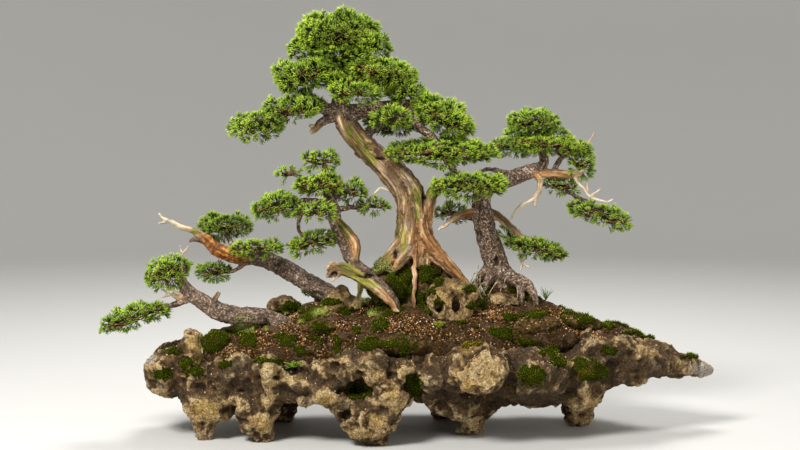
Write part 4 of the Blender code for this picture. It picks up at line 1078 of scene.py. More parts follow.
MAIN_TREE = [
    ([(12, 8, 204, 21), (12, 8, 218, 24), (13, 8, 241, 23), (13, 8, 266, 20.5), (12, 8, 286, 19.5),
      (5, 10, 313, 19), (-18, 14, 339, 18), (-47, 18, 365, 15), (-69, 16, 390, 13.2),
      (-80, 12, 414, 12.5), (-82, 12, 438, 10), (-78, 12, 462, 7), (-77, 12, 488, 5), (-80, 12, 514, 3)],
     "ddddddwwdbbbbb"),
    ([(5, 4, 306, 9), (6, 3, 262, 10), (-6, -1, 236, 11), (-24, -7, 216, 9), (-41, -10, 203, 6.5),
      (-52, -12, 186, 4)], "dddggg"),
    ([(8, -4, 292, 9), (7, -8, 250, 12.5), (3, -13, 234, 9), (-8, -22, 219, 5.6), (-17, -28, 210, 3.2)],
     "ddddl"),
    ([(12, -8, 262, 8), (13, -13, 238, 6.5), (12, -22, 218, 4), (13, -30, 198, 3), (12, -38, 178, 2.6),
      (12, -44, 160, 2.3)], "dlllll"),
    ([(14, 2, 306, 9), (19, 1, 262, 14), (33, -3, 240, 12), (54, -12, 219, 8.5), (72, -19, 202, 6.2),
      (84, -24, 188, 4.4), (90, -27, 174, 3.2)], "dlllldb"),
    ([(8, 12, 292, 9), (9, 20, 250, 13), (8, 32, 228, 11), (0, 44, 206, 8), (-8, 52, 184, 5),
      (-12, 56, 166, 3.5)], "dddbbb"),
    ([(14, 12, 286, 9), (18, 16, 244, 12), (36, 28, 222, 10), (52, 38, 200, 7), (60, 46, 178, 4.5)],
     "ddbbb"),
    ([(2, -2, 284, 9), (-5, -3, 316, 8), (-29, 2, 342, 7.5), (-57, 4, 368, 6.5), (-77, 2, 392, 5.5),
      (-84, 4, 412, 5)], "d"),
    ([(22, 0, 262, 7), (20, -3, 300, 7.5), (3, 0, 328, 7), (-22, 4, 352, 6)], "d"),
    ([(-54, 14, 360, 12), (-48, 10, 366, 11)], "d"),
    ([(-37, 6, 356, 8), (-44, 4, 364, 7)], "d"),
    ([(18, 4, 250, 9), (27, 4, 270, 8.5), (32, 2, 290, 7.5), (36, -4, 310, 7.5), (48, -13, 320, 6),
      (68, -22, 323, 4)], "dddggb"),
    ([(-70, 12, 408, 10), (-99, 6, 419, 8), (-119, -2, 419, 6.5), (-147, -8, 415, 5), (-176, -13, 405, 4),
      (-196, -15, 396, 3)], "b"),
    ([(-84, 12, 410, 7), (-104, 0, 403, 6), (-114, -6, 393, 4.5), (-122, -8, 386, 2.4)], "bvdd"),
    ([(-112, -5, 394, 3.6), (-123, -8, 397, 1.8)], "d"),
    ([(-72, 14, 412, 11), (-42, 16, 417, 10), (-19, 12, 420, 9), (1, 4, 424, 7), (14, 0, 413, 6.5),
      (18, -4, 396, 6), (37, -8, 381, 5.5), (50, -14, 360, 5), (67, -24, 336, 4), (80, -31, 324, 2.8)],
     "b"),
    ([(-79, 12, 450, 6), (-100, 8, 460, 4), (-126, 4, 467, 2.6)], "b"),
    ([(-79, 12, 450, 6), (-57, 6, 461, 4), (-36, 0, 469, 2.6)], "b"),
    ([(-80, 12, 434, 6), (-71, -10, 438, 3.6), (-61, -32, 441, 2.4)], "b"),
    ([(-24, 12, 419, 6), (-9, 10, 430, 3.6), (3, 6, 439, 2.4)], "b"),
    ([(-2, 4, 422, 5.5), (24, 2, 420, 4.4), (47, 0, 413, 2.8)], "b"),
    ([(12, 0, 416, 5), (-2, -18, 411, 3.2), (-15, -33, 407, 2.2)], "b"),
    ([(42, -10, 372, 4.5), (66, -14, 366, 3.2), (92, -14, 364, 2)], "b"),
    ([(-80, 12, 436, 6), (-70, 34, 449, 4), (-60, 54, 455, 2.4)], "b"),
    ([(-50, 17, 384, 7), (-34, 44, 396, 4.6), (-12, 68, 401, 2.6)], "b"),
]
RIGHT_TREE = [
    ([(129, 24, 168, 19), (127, 24, 188, 17.5), (123, 22, 208, 16), (115, 20, 234, 15.2),
      (107, 20, 260, 14.4), (102, 21, 286, 13.4), (103, 26, 306, 12), (116, 30, 319, 11.5),
      (139, 30, 327, 11), (162, 26, 336, 9.5), (182, 22, 347, 6.5), (179, 26, 372, 4.6),
      (171, 30, 398, 2.8)], "b"),
    ([(124, 20, 212, 12), (140, 4, 198, 9.5), (156, -5, 193, 8), (167, -11, 180, 5.5),
      (171, -14, 164, 3.5)], "b"),
    ([(148, 0, 194, 6), (151, -12, 178, 4.2), (153, -16, 160, 3)], "b"),
    ([(122, 18, 210, 10), (108, 6, 192, 5.5), (101, -2, 174, 3.4)], "b"),
    ([(126, 26, 206, 12), (138, 44, 188, 8), (144, 58, 166, 4.5)], "b"),
    ([(112, 24, 206, 11), (98, 38, 188, 7), (90, 48, 168, 4)], "b"),
    ([(158, 26, 335, 8), (191, 20, 334, 6.2), (226, 14, 333, 4.2), (236, 14, 341, 2.6)], "tttb"),
    ([(142, 29, 331, 5), (120, 26, 339, 3.4), (102, 22, 338, 3), (88, 14, 331, 1.8)], "b"),
    ([(193, 20, 333, 4.4), (203, 20, 352, 3), (209, 18, 364, 2.2)], "b"),
    ([(188, 21, 333, 4.6), (204, 34, 316, 3.6), (232, 38, 301, 3), (262, 34, 283, 2.4)], "b"),
    ([(108, 20, 284, 6.5), (123, 16, 278, 5.6), (139, 12, 264, 5), (152, 10, 252, 4.2),
      (176, 8, 240, 2.8)], "bdddb"),
    ([(152, 10, 254, 3.6), (152, 6, 232, 3), (154, 4, 219, 2.3), (165, 2, 212, 1.3)], "d"),
    ([(154, 4, 221, 2), (151, 2, 208, 1.3)], "d"),
    ([(106, 22, 270, 6), (85, 42, 276, 3.6), (63, 58, 280, 2.4)], "b"),
    ([(104, 20, 284, 7), (84, 12, 283, 5.2), (65, 8, 276, 4.4), (54, 4, 268, 3), (42, 0, 262, 1.6)],
     "blddd"),
    ([(169, 25, 337, 5), (177, 10, 322, 4), (170, 4, 304, 3.2), (152, 0, 294, 2.6), (136, -2, 273, 1.2)],
     "d"),
    ([(172, 5, 306, 3), (170, 2, 291, 1.6)], "d"),
    ([(222, 15, 333, 3.2), (231, 10, 318, 2.3), (240, 8, 306, 2), (262, 6, 298, 1.7), (276, 6, 305, 1)],
     "d"),
    ([(242, 8, 305, 2), (256, 2, 314, 1.3)], "d"),
    ([(206, 18, 360, 2.6), (231, 16, 369, 2.2), (243, 14, 377, 1.8), (248, 12, 388, 1.2)], "bddd"),
    ([(232, 14, 336, 2.6), (239, 11, 322, 1.8), (240, 10, 312, 1.2)], "d"),
    ([(176, 27, 380, 4), (164, 52, 374, 3), (152, 74, 370, 2)], "b"),
]
CENTRE_TREE = [
    ([(-8, -42, 162, 4), (-14, -44, 178, 4.8), (-30, -42, 196, 5.4), (-48, -40, 211, 6),
      (-67, -38, 226, 8), (-75, -36, 245, 9.5), (-81, -34, 259, 9), (-88, -32, 274, 8.5),
      (-91, -30, 289, 8), (-95, -28, 307, 6.5), (-101, -28, 328, 4.6), (-103, -28, 351, 2.6)],
     "vvvvvbbbbbbb"),
    ([(-64, -42, 223, 5), (-62, -44, 238, 6.4), (-64, -44, 250, 6.4), (-74, -41, 263, 6),
      (-86, -36, 277, 5)], "dddgg"),
    ([(-8, -50, 160, 3), (-22, -52, 178, 5), (-40, -54, 194, 6.6), (-58, -52, 206, 8), (-76, -50, 215, 9),
      (-87, -50, 215, 8.5), (-94, -50, 212, 6)], "llgggdd"),
    ([(-88, -52, 213, 6), (-96, -54, 207, 4), (-98, -55, 203, 2)], "d"),
    ([(-88, -50, 217, 5), (-97, -50, 217, 3.4), (-100, -50, 214, 1.6)], "d"),
    ([(-86, -46, 218, 4), (-92, -46, 222, 2.6), (-95, -47, 221, 1.4)], "d"),
    ([(-84, -54, 208, 4), (-89, -56, 203, 2.4), (-90, -57, 199, 1.4)], "d"),
    ([(-54, -52, 200, 5), (-57, -52, 185, 3.6), (-58, -52, 166, 3)], "g"),
    ([(-96, -28, 312, 4.2), (-118, -29, 328, 3), (-140, -30, 334, 2), (-152, -30, 338, 1.5)], "b"),
    ([(-94, -29, 302, 5), (-82, -24, 309, 3.2), (-67, -20, 313, 2)], "b"),
    ([(-92, -30, 294, 6), (-118, -32, 301, 4.6), (-142, -34, 300, 3.4), (-161, -34, 294, 2.4)], "b"),
    ([(-91, -31, 292, 5), (-103, -48, 293, 3), (-112, -60, 291, 2)], "b"),
    ([(-90, -29, 288, 5), (-68, -20, 292, 3.2), (-43, -10, 293, 2)], "b"),
    ([(-50, -13, 293, 2.4), (-43, -10, 304, 2), (-31, -10, 317, 1.8), (-20, -10, 314, 1.3)], "d"),
    ([(-128, -33, 300, 4), (-134, -34, 281, 3.2), (-134, -32, 264, 2.6), (-122, -30, 249, 2)], "b"),
    ([(-96, -27, 306, 4.4), (-101, -8, 313, 3), (-109, 10, 318, 2)], "b"),
]
LEFT_TREE = [
    ([(-90, 0, 158, 14), (-100, 0, 176, 14), (-114, 0, 185, 13.5), (-136, 4, 198, 12.5),
      (-163, 8, 214, 11.5), (-189, 8, 224, 10.5), (-217, 4, 227, 10), (-243, 0, 236, 9),
      (-258, 0, 249, 7), (-273, 0, 259, 4.6), (-297, 0, 269, 3), (-310, 0, 276, 2.2), (-320, 0, 283, 1.3)],
     "ssssssrrrdddd"),
    ([(-306, 0, 274, 2.2), (-320, 0, 268, 1.3)], "d"),
    ([(-254, 0, 246, 5), (-270, -4, 250, 3.6), (-280, -6, 246, 2)], "b"),
    ([(-217, 4, 229, 6), (-228, 18, 244, 4), (-239, 29, 260, 2.4)], "b"),
    ([(-189, 6, 228, 5.5), (-190, -8, 236, 3.4), (-191, -20, 240, 2.2)], "b"),
    ([(-206, 5, 222, 5), (-216, 11, 211, 3), (-230, 16, 205, 2.4), (-247, 20, 203, 1.8)], "b"),
    ([(-106, 0, 182, 11), (-88, -12, 174, 7), (-74, -14, 158, 4)], "b"),
    ([(-108, 2, 182, 11), (-112, 22, 170, 7), (-116, 36, 154, 4)], "b"),
]
LOW_TREE = [
    ([(-138, -36, 132, 6), (-154, -40, 146, 8), (-182, -46, 155, 10), (-212, -50, 156, 11),
      (-237, -52, 162, 11.5), (-256, -52, 174, 10), (-273, -50, 186, 8.5), (-284, -47, 200, 7),
      (-291, -46, 211, 4.6), (-300, -48, 216, 3)], "sssssssbbb"),
    ([(-266, -51, 182, 6), (-286, -51, 172, 4), (-306, -50, 167, 3), (-338, -50, 157, 2)], "b"),
    ([(-268, -52, 184, 5), (-286, -54, 180, 3.6), (-296, -55, 184, 2.4), (-308, -55, 190, 1.2)], "bldd"),
    ([(-298, -55, 182, 2.2), (-310, -56, 180, 1.3)], "d"),
    ([(-285, -54, 181, 2.4), (-294, -55, 190, 1.7), (-299, -55, 198, 1.1)], "d"),
    ([(-289, -47, 206, 3.2), (-282, -50, 226, 2.2), (-284, -50, 247, 1.3)], "bdd"),
    ([(-283, -50, 232, 1.8), (-273, -50, 246, 1.2)], "d"),
    ([(-242, -52, 168, 5), (-239, -56, 180, 4), (-235, -57, 188, 3.4)], "bdd"),
    ([(-160, -42, 150, 7), (-166, -52, 140, 5), (-170, -58, 128, 3.5)], "b"),
]
# Each tree's limbs, its slot, how deep its wood is fluted as a share of its radius, and how far its grain
# turns, in degrees a metre
TREES = {
    "main_tree": (MAIN_TREE, "old_wood", 0.17, 420),
    "right_tree": (RIGHT_TREE, "bark", 0.1, 150),
    "centre_tree": (CENTRE_TREE, "bark", 0.14, 300),
    "left_tree": (LEFT_TREE, "bark", 0.1, 200),
    "low_tree": (LOW_TREE, "bark", 0.12, 200),
}
THICK_LIMB = 7.0         # from this radius up, in millimetres, a limb keeps its smooth curve
FLUTED_LIMB = 6.0        # a limb that starts thinner than this is fluted half as deep
BEND = 2.2               # how far a thin limb strays from its curve
LIMB_SHIFT = 0.37        # how far apart the grain of one limb is from the next, in metres
FINISH_BLEND = 1.6       # how softly the finishes of two limbs meet
AT_ONCE = 4000           # how many vertices are compared with the limbs at a time
# What the columns of a row about a limb hold
PLACE, TANGENT, SIDE, UP = (slice(start, start + 3) for start in (0, 3, 6, 9))
RADIUS, ALONG = 12, 13
FIRST_SHARE = 14


def smooth_route(points, letters, step):
    """Rows of (x, y, z, radius, finishes) every so many millimetres on a smooth curve."""
    letters = letters if len(letters) > 1 else letters * len(points)
    full = [(*point, *FINISHES[letter]) for point, letter in zip(points, letters)]
    ends = [full[0], *full, full[-1]]
    rows = []
    for before, start, stop, after in zip(ends, ends[1:], ends[2:], ends[3:]):
        count = max(2, round(math.dist(start[:3], stop[:3]) / step))
        for t in np.arange(count) / count:
            p, q, r, s = (np.array(values, float) for values in (before, start, stop, after))
            row = 0.5 * (2 * q + (r - p) * t + (2 * p - 5 * q + 4 * r - s) * t * t
                         + (3 * q - p - 3 * r + s) * t ** 3)
            row[4:] = q[4:] + (r - q)[4:] * t
            rows.append(row)
    rows.append(np.array(full[-1], float))
    return np.array(rows)


def knotty(rows):
    """Gives thin limbs the small bends and knobs of slow growth."""
    for row in rows:
        place = Vector(row[:3])
        thin = min(1.0, max(0.0, (THICK_LIMB - row[3]) / 4))
        row[:3] += thin * BEND * np.array(noise.noise_vector(place / 8))
        row[3] *= 1 + (0.1 + 0.25 * thin) * noise.noise(place / 6)
    return rows


def framed(rows):
    """Places in metres along a route, with their tangents, two cross directions and distances along it."""
    places = (rows[:, :3] + np.array(ROUTE_SHIFT)) * MM
    tangents = np.gradient(places, axis=0)
    tangents /= np.linalg.norm(tangents, axis=1, keepdims=True)
    side = np.cross(tangents[0], (0.3, 1.0, 0.2))
    sides = []
    for tangent in tangents:
        side = side - tangent * side.dot(tangent)
        side /= np.linalg.norm(side)
        sides.append(side.copy())
    sides = np.array(sides)
    along = np.concatenate([[0], np.cumsum(np.linalg.norm(np.diff(places, axis=0), axis=1))])
    return places, tangents, sides, np.cross(tangents, sides), along


def limb_form(bm, rows, flute, twist, count=20):
    """A closed tube round a route, fluted as old wood is."""
    places, _, sides, ups, along = framed(rows)
    seed = Vector(places[0]) * 300
    rings = []
    for place, side, up, row, far in zip(places, sides, ups, rows, along):
        ring = []
        for angle in np.arange(count) * 2 * math.pi / count:
            turned = angle - math.radians(twist) * far
            ridge = noise.noise(Vector((1.5 * math.cos(turned), 1.5 * math.sin(turned), far * 9)) + seed)
            reach = row[3] * MM * (1 + flute * 1.6 * ridge)
            ring.append(bm.verts.new(place + reach * (math.cos(angle) * side + math.sin(angle) * up)))
        rings.append(ring)
    for low_ring, high_ring in zip(rings, rings[1:]):
        for index in range(count):
            after = (index + 1) % count
            bm.faces.new((low_ring[index], low_ring[after], high_ring[after], high_ring[index]))
    bm.faces.new(rings[0][::-1])
    bm.faces.new(rings[-1])


def follow_limbs(mesh, routes, twist, spots):
    """Stores where each vertex lies along and around its nearest limb, and that limb's finish there."""
    points = corners_of(mesh)
    limbs = []
    for index, rows in enumerate(routes):
        places, tangents, sides, ups, along = framed(rows)
        turn = np.radians(twist) * along
        turned = sides * np.cos(turn)[:, None] + ups * np.sin(turn)[:, None]
        limbs.append(np.hstack([places, tangents, turned, np.cross(tangents, turned), rows[:, 3:4] * MM,
                                along[:, None] + index * LIMB_SHIFT, rows[:, 4:]]))
    limbs = np.vstack(limbs)
    grain, finishes, girth = [], [], []
    for start in range(0, len(points), AT_ONCE):
        part = points[start:start + AT_ONCE].astype(float)
        far = np.linalg.norm(part[:, None, :] - limbs[None, :, PLACE], axis=2) - limbs[None, :, RADIUS]
        near = limbs[far.argmin(axis=1)]
        offset = part - near[:, PLACE]
        across, over, on = ((offset * near[:, way]).sum(1) for way in (SIDE, UP, TANGENT))
        grain.append(np.stack([across, over, near[:, ALONG] + on], axis=1))
        weight = np.exp(-(far - far.min(axis=1, keepdims=True)) / (FINISH_BLEND * MM))
        finishes.append(weight @ limbs[:, FIRST_SHARE:] / weight.sum(axis=1, keepdims=True))
        girth.append(near[:, RADIUS])
    finishes = np.vstack(finishes)
    keep_attribute(mesh, "grain", np.vstack(grain))
    keep_attribute(mesh, "girth", np.concatenate(girth))
    surface = surface_of(mesh)
    for name in (*FINISH_NAMES, "hollow", "dull"):
        share = painted(mesh, surface, spots.get(name, ()))
        if name in FINISH_NAMES:
            share = np.maximum(finishes[:, FINISH_NAMES.index(name)], share)
        keep_attribute(mesh, name, share)


def wood_relief():
    """Raises bark in scaly plates, and cuts the grain and the drying cracks of bare wood along the limb."""
    tree, size, result = geometry_tree(
        "wood_relief", plate_size=0.0042, plate_height=0.0017, vein_width=0.009, vein_depth=0.0032,
        crack_width=0.0026, crack_depth=0.0012, hole_depth=0.0045)
    grain = stored(tree, "grain", "FLOAT_VECTOR")
    bark = stored(tree, "bark")
    long, short = (add(tree, "ShaderNodeVectorMath", grain, (1, 1, stretch), operation="MULTIPLY")
                   for stretch in (0.13, 0.8))
    plate = add(tree, "ShaderNodeTexVoronoi", {
        "Vector": scaled(tree, short, size["plate_size"]), "Scale": 1.0, "Smoothness": 0.2},
        feature="SMOOTH_F1")
    plates = add(tree, "ADD", add(tree, "SUBTRACT", 0.5, plate.outputs["Distance"]),
                 swirls(tree, size["plate_size"], 3.0, short, zoom=0.7, height=0.8))
    veins = swirls(tree, size["vein_width"], 1.5, long)
    ridge = add(tree, "ABSOLUTE", swirls(tree, size["crack_width"], 2.0, long))
    cracks = add(tree, "SUBTRACT", between(tree, ridge, 0.0, 0.22), 0.7)
    bare = add(tree, "ADD", add(tree, "MULTIPLY", veins, size["vein_depth"]),
               add(tree, "MULTIPLY", cracks, size["crack_depth"]))
    rind = add(tree, "MULTIPLY", plates, size["plate_height"])
    chosen = add(tree, "ShaderNodeMix", {"Factor": bark, "A": bare, "B": rind}, data_type="FLOAT")
    thick = between(tree, stored(tree, "girth"), 0.001, 0.011)
    height = add(tree, "SUBTRACT", add(tree, "MULTIPLY", chosen, thick),
                 add(tree, "MULTIPLY", stored(tree, "hollow"), size["hole_depth"]))
    relief = add(tree, "ShaderNodeMix", {
        "Factor": bark, "A": add(tree, "MULTIPLY_ADD", add(tree, "ADD", veins, cracks), 0.35, 0.5),
        "B": add(tree, "MULTIPLY_ADD", plates, 0.6, 0.4)}, data_type="FLOAT")
    feed(tree, result, 0, add(tree, "GeometryNodeStoreNamedAttribute", {
        "Geometry": pushed(tree, size["Geometry"], height), "Name": "relief", "Value": relief},
        data_type="FLOAT", domain="POINT"))
    return tree


def old_juniper_wood():
    """Juniper wood and bark: scaly grey brown bark, smooth orange-brown live wood where it is peeled,
    silver and tan grain on deadwood, and green algae on what stays damp, with painted shade in its cracks, in
    its hollows and on the upper trunk under the crown."""
    made, tree, shader = finish("juniper_wood", 0.78, 0.3)
    grain = add(tree, "ShaderNodeAttribute", attribute_name="grain").outputs["Vector"]
    long, short = (add(tree, "ShaderNodeMapping", {"Vector": grain, "Scale": (1, 1, stretch)})
                   for stretch in (0.08, 0.9))
    streak = grained(tree, 5.5, 4.0, 0.62, long)
    fibres = grained(tree, 1.7, 3.0, 0.65, long)
    scale = grained(tree, 2.2, 4.0, 0.65, short)
    patch = grained(tree, 15, 3.0, 0.6)
    soft = add(tree, "MULTIPLY_ADD", patch, 1.4, -0.7)

    silver = spread_ramp(tree, streak, (0.28, "3c2911"), (0.42, "735530"), (0.53, "a07e4f"), (0.66, "dcc092"))
    grey = spread_ramp(tree, streak, (0.3, "453324"), (0.48, "7c644c"), (0.66, "c4af94"))
    dead = blended(tree, between(tree, patch, 0.44, 0.66), silver, grey)
    # Painted shade: the upper trunk under the crown is darkened brown
    dead = blended(tree, add(tree, "MULTIPLY", stored(tree, "dull"), 0.75), dead, "573d22")
    bleached = spread_ramp(tree, streak, (0.3, "a48c6c"), (0.6, "ead9bd"))
    dead = blended(tree, between(tree, stored(tree, "girth"), 0.0045, 0.0022), dead, bleached)
    algae = spread_ramp(tree, streak, (0.28, "23230a"), (0.43, "57541a"), (0.55, "8a842f"), (0.68, "b9ae5c"))
    green = add(tree, "ADD", stored(tree, "algae"), add(tree, "MULTIPLY_ADD", patch, 1.9, -1.05))
    colour = blended(tree, between(tree, green, 0.2, 0.9), dead, algae)

    live = spread_ramp(tree, streak, (0.28, "45290f"), (0.41, "7c5026"), (0.52, "aa7846"), (0.61, "d8ae80"),
                       (0.69, "f2dcc4"))
    peeled = add(tree, "ADD", stored(tree, "live"), add(tree, "MULTIPLY", soft, 0.7))
    peeled = between(tree, peeled, 0.3, 0.8)
    colour = blended(tree, add(tree, "MULTIPLY", peeled, 0.9), colour, live)
    rust = spread_ramp(tree, grained(tree, 5.5, 4.0, 0.7), (0.36, "34180a"), (0.46, "7e4214"),
                       (0.54, "b06c22"), (0.66, "dba85e"))
    rusty = add(tree, "MULTIPLY", stored(tree, "smooth"), peeled)
    colour = blended(tree, add(tree, "MULTIPLY", rusty, 0.85), colour, rust)

    rind = spread_ramp(tree, scale, (0.3, "24160c"), (0.43, "5a402a"), (0.51, "856a50"), (0.58, "b6a08c"),
                       (0.67, "e2d6cc"))
    pink = spread_ramp(tree, scale, (0.3, "3a2b21"), (0.5, "705a49"), (0.68, "b09c8c"))
    rind = blended(tree, stored(tree, "smooth"), rind, pink)
    rind = blended(tree, between(tree, patch, 0.55, 0.38, 0.5), rind, "33231a")
    covered = add(tree, "ADD", stored(tree, "bark"), add(tree, "MULTIPLY", soft, 0.5))
    colour = blended(tree, between(tree, covered, 0.35, 0.6), colour, rind)

    # Painted shade: darker in the cracks, the grooves and between the bark's plates, where the relief is low
    colour = blended(tree, between(tree, stored(tree, "relief"), 0.46, 0.14, 0.8), colour, "1f150d")
    colour = blended(tree, between(tree, fibres, 0.47, 0.36, 0.5), colour, "34241a")
    # Painted shade inside the hollows
    colour = blended(tree, between(tree, stored(tree, "hollow"), 0.2, 0.8), colour, "2a1b0e")
    feed(tree, shader, "Base Color", colour)
    raised(tree, shader, add(tree, "ADD", add(tree, "MULTIPLY", fibres, 0.7), scale), 0.7)
    return made


def make_trees():
    wood = old_juniper_wood()
    tree = wood_relief()
    made = []
    for name, (limbs, slot, flute, twist) in TREES.items():
        routes = [knotty(smooth_route(points, letters, 3.0)) for points, letters in limbs]
        bm = bmesh.new()
        for rows in routes:
            limb_form(bm, rows, flute if rows[0][3] > FLUTED_LIMB else 0.5 * flute, twist)
        obj = link(name + "_form", mesh_of(bm, name))
        modify(obj, "REMESH", mode="VOXEL", voxel_size=WOOD_GRAIN * MM)
        settle(obj)
        modify(obj, "SMOOTH", iterations=3, factor=0.5)
        settle(obj)
        follow_limbs(obj.data, routes, twist, WOOD_SPOTS[name])
        run_tree(obj, tree)
        thinned(obj, WOOD_SHARE)
        obj.data.materials.append(wood)
        made.append(finished(obj, name.replace("tree", "juniper"), slot, name))
    return made


# Foliage: each pad is (x, y, z, half width, half depth, half height, lean) out to its branchlets' tips

PADS = {
    "main": {
        "main_apex": (-87, 12, 517, 59, 50, 36, 0),
        "main_shoulder_left": (-125, 4, 465, 52, 48, 26, 8),
        "main_shoulder_right": (-31, 0, 468, 50, 44, 24, -8),
        "main_shoulder_front": (-60, -36, 441, 36, 24, 16, -4),
        "main_left_inner": (-140, -8, 421, 46, 34, 22, 8),
        "main_left_tip": (-189, -16, 399, 36, 30, 25, 4),
        "main_right_upper": (4, 6, 441, 32, 32, 19, -10),
        "main_right_front": (-13, -36, 409, 31, 24, 18, -4),
        "main_right_outer": (50, 0, 410, 47, 38, 24, -22),
        "main_right_middle": (46, -14, 364, 76, 36, 22, 0),
        "main_right_low": (82, -33, 323, 54, 32, 22, 0),
        "main_back_upper": (-58, 62, 456, 46, 30, 20, 0),
        "main_back_low": (-8, 74, 402, 46, 32, 18, 0),
    },
    "right": {
        "right_apex": (171, 30, 403, 39, 34, 23, 0),
        "right_crown": (193, 20, 373, 60, 40, 18, -6),
        "right_crown_tip": (229, 14, 350, 20, 18, 17, -10),
        "right_behind_arm": (207, 34, 320, 28, 20, 14, -8),
        "right_arm_tip": (258, 34, 282, 46, 28, 20, -18),
        "right_low": (173, 8, 239, 49, 28, 16, -14),
        "right_low_back": (60, 60, 283, 30, 24, 14, 0),
        "right_back": (148, 78, 371, 40, 26, 16, 0),
    },
    "centre": {
        "centre_apex": (-107, -28, 355, 29, 24, 15, 0),
        "centre_left_twig": (-148, -30, 338, 17, 14, 12, 10),
        "centre_crown": (-107, -40, 324, 38, 28, 18, 0),
        "centre_right": (-70, -20, 315, 25, 22, 17, -6),
        "centre_left": (-162, -34, 296, 39, 32, 23, 4),
        "centre_front": (-112, -63, 291, 30, 20, 15, 0),
        "centre_right_tip": (-40, -9, 296, 26, 20, 13, -4),
        "centre_low": (-117, -30, 251, 42, 27, 20, 10),
        "centre_back": (-110, 16, 319, 32, 24, 15, 0),
    },
    "left": {
        "left_back": (-237, 32, 266, 41, 30, 21, 0),
        "left_front": (-188, -24, 243, 40, 24, 16, 0),
        "left_hanging": (-251, 21, 207, 30, 24, 15, 10),
    },
    "low": {
        "low_crown": (-300, -48, 215, 38, 32, 24, 14),
        "low_tip": (-343, -50, 156, 50, 28, 18, 18),
    },
}
# Foliage between the pads, in shapes like theirs, under the pad that it is grown with
INFILL = {
    "main_apex": [(-121, 4, 500, 30, 32, 23, 10), (-44, 4, 501, 32, 32, 22, -12),
                  (-82, -10, 489, 46, 28, 17, 0), (-86, 6, 476, 26, 24, 15, 0)],
    "main_shoulder_left": [(-98, -14, 458, 34, 26, 16, 0)],
    "main_shoulder_right": [(-10, -4, 456, 28, 28, 16, -10)],
    "main_right_upper": [(28, 2, 428, 26, 28, 17, -16)],
    "right_apex": [(150, 26, 387, 21, 22, 16, 8), (204, 24, 385, 21, 22, 15, -12)],
    "right_low": [(137, 14, 257, 17, 15, 9, -20)],
}
# How much darker the foliage of a pad is painted: painted shade where it lies behind or in shade, and older
# foliage
DARK_PADS = {
    "left_back": 0.6, "left_hanging": 0.4, "left_front": 0.2, "right_low_back": 0.4, "right_low": 0.2,
    "right_back": 0.5, "centre_right": 0.25, "centre_right_tip": 0.3, "centre_low": 0.2, "centre_back": 0.5,
    "main_left_inner": 0.2, "main_back_upper": 0.5, "main_back_low": 0.5,
}
SPRAY_LENGTH = 13.0      # from a pad's core to a spray's tip, in millimetres
SPRAY_SPACING = 3.4
CLUMP_SIZE = 12.5        # radius of the tufts that a pad's outline is made of
CLUMP_DEPTH = 8.0        # how far the gaps between them go in
CORE_INSET = 3.0         # how deep the sprays' stems are sunk
CORE_DEPTHS = (0.98, 0.9, 0.72)     # how deep a core lies in its pad along x, y and z, in lengths of a spray
CORE_DROP = 4.5          # how much lower a core lies than its pad, as the sprays on it rise
LEAST_CORE = 0.42        # the least reach of a core, as a share of its pad's
SPRAY_SHAPES = 5
SHOOT_RADIUS = 0.68
SIDE_SHOOTS = 8
SHOULDER = 0.7           # how far up a shoot its blunt tip starts
FAN_POINT = 0.5          # how far out from a pad's middle the sprays of a tuft spread from


def blade(bm, layer, root, tip, radius, low_share, high_share, bow):
    """A blunt three-sided shoot from root to tip, bowed, which stores how near each vertex is to the tip."""
    turn = (tip - root).to_track_quat("Z", "Y")
    start, point = bm.verts.new(root), bm.verts.new(tip)
    start[layer], point[layer] = low_share, high_share
    ring = []
    for corner in range(3):
        angle = corner * math.tau / 3
        out = turn @ Vector((math.cos(angle), math.sin(angle), 0)) * radius
        ring.append(bm.verts.new(root.lerp(tip, SHOULDER) + bow * SHOULDER + out))
        ring[-1][layer] = low_share + (high_share - low_share) * SHOULDER
    for corner in range(3):
        after = (corner + 1) % 3
        bm.faces.new((ring[after], ring[corner], start))
        bm.faces.new((ring[corner], ring[after], point))


def spray(index):
    """A spray of scale foliage: a bunch of shoots that part from a stem and turn up, along +Z."""
    bm = bmesh.new()
    layer = bm.verts.layers.float.new("tip")
    stem = Vector((draw.uniform(-0.15, 0.15), draw.uniform(-0.15, 0.15), 1)) * SPRAY_LENGTH * MM
    blade(bm, layer, Vector((0, 0, -CORE_INSET * MM)), stem, SHOOT_RADIUS * MM, 0.0, 1.0, Vector())
    turn = draw.uniform(0, math.tau)
    for _ in range(SIDE_SHOOTS):
        turn += draw.uniform(1.9, 2.6)
        side = Vector((math.cos(turn), math.sin(turn), 0))
        root = stem * draw.uniform(0.05, 0.5)
        length = (0.98 * SPRAY_LENGTH * MM - root.z) * draw.uniform(0.72, 1.0)
        way = (side * draw.uniform(0.25, 0.8) + Vector((0, 0, 1))).normalized()
        blade(bm, layer, root, root + way * length, SHOOT_RADIUS * draw.uniform(0.85, 1.05) * MM,
              0.7 * root.z / stem.z, draw.uniform(0.82, 1.0), side * 0.06 * length)
    return mesh_of(bm, f"spray_{index}")


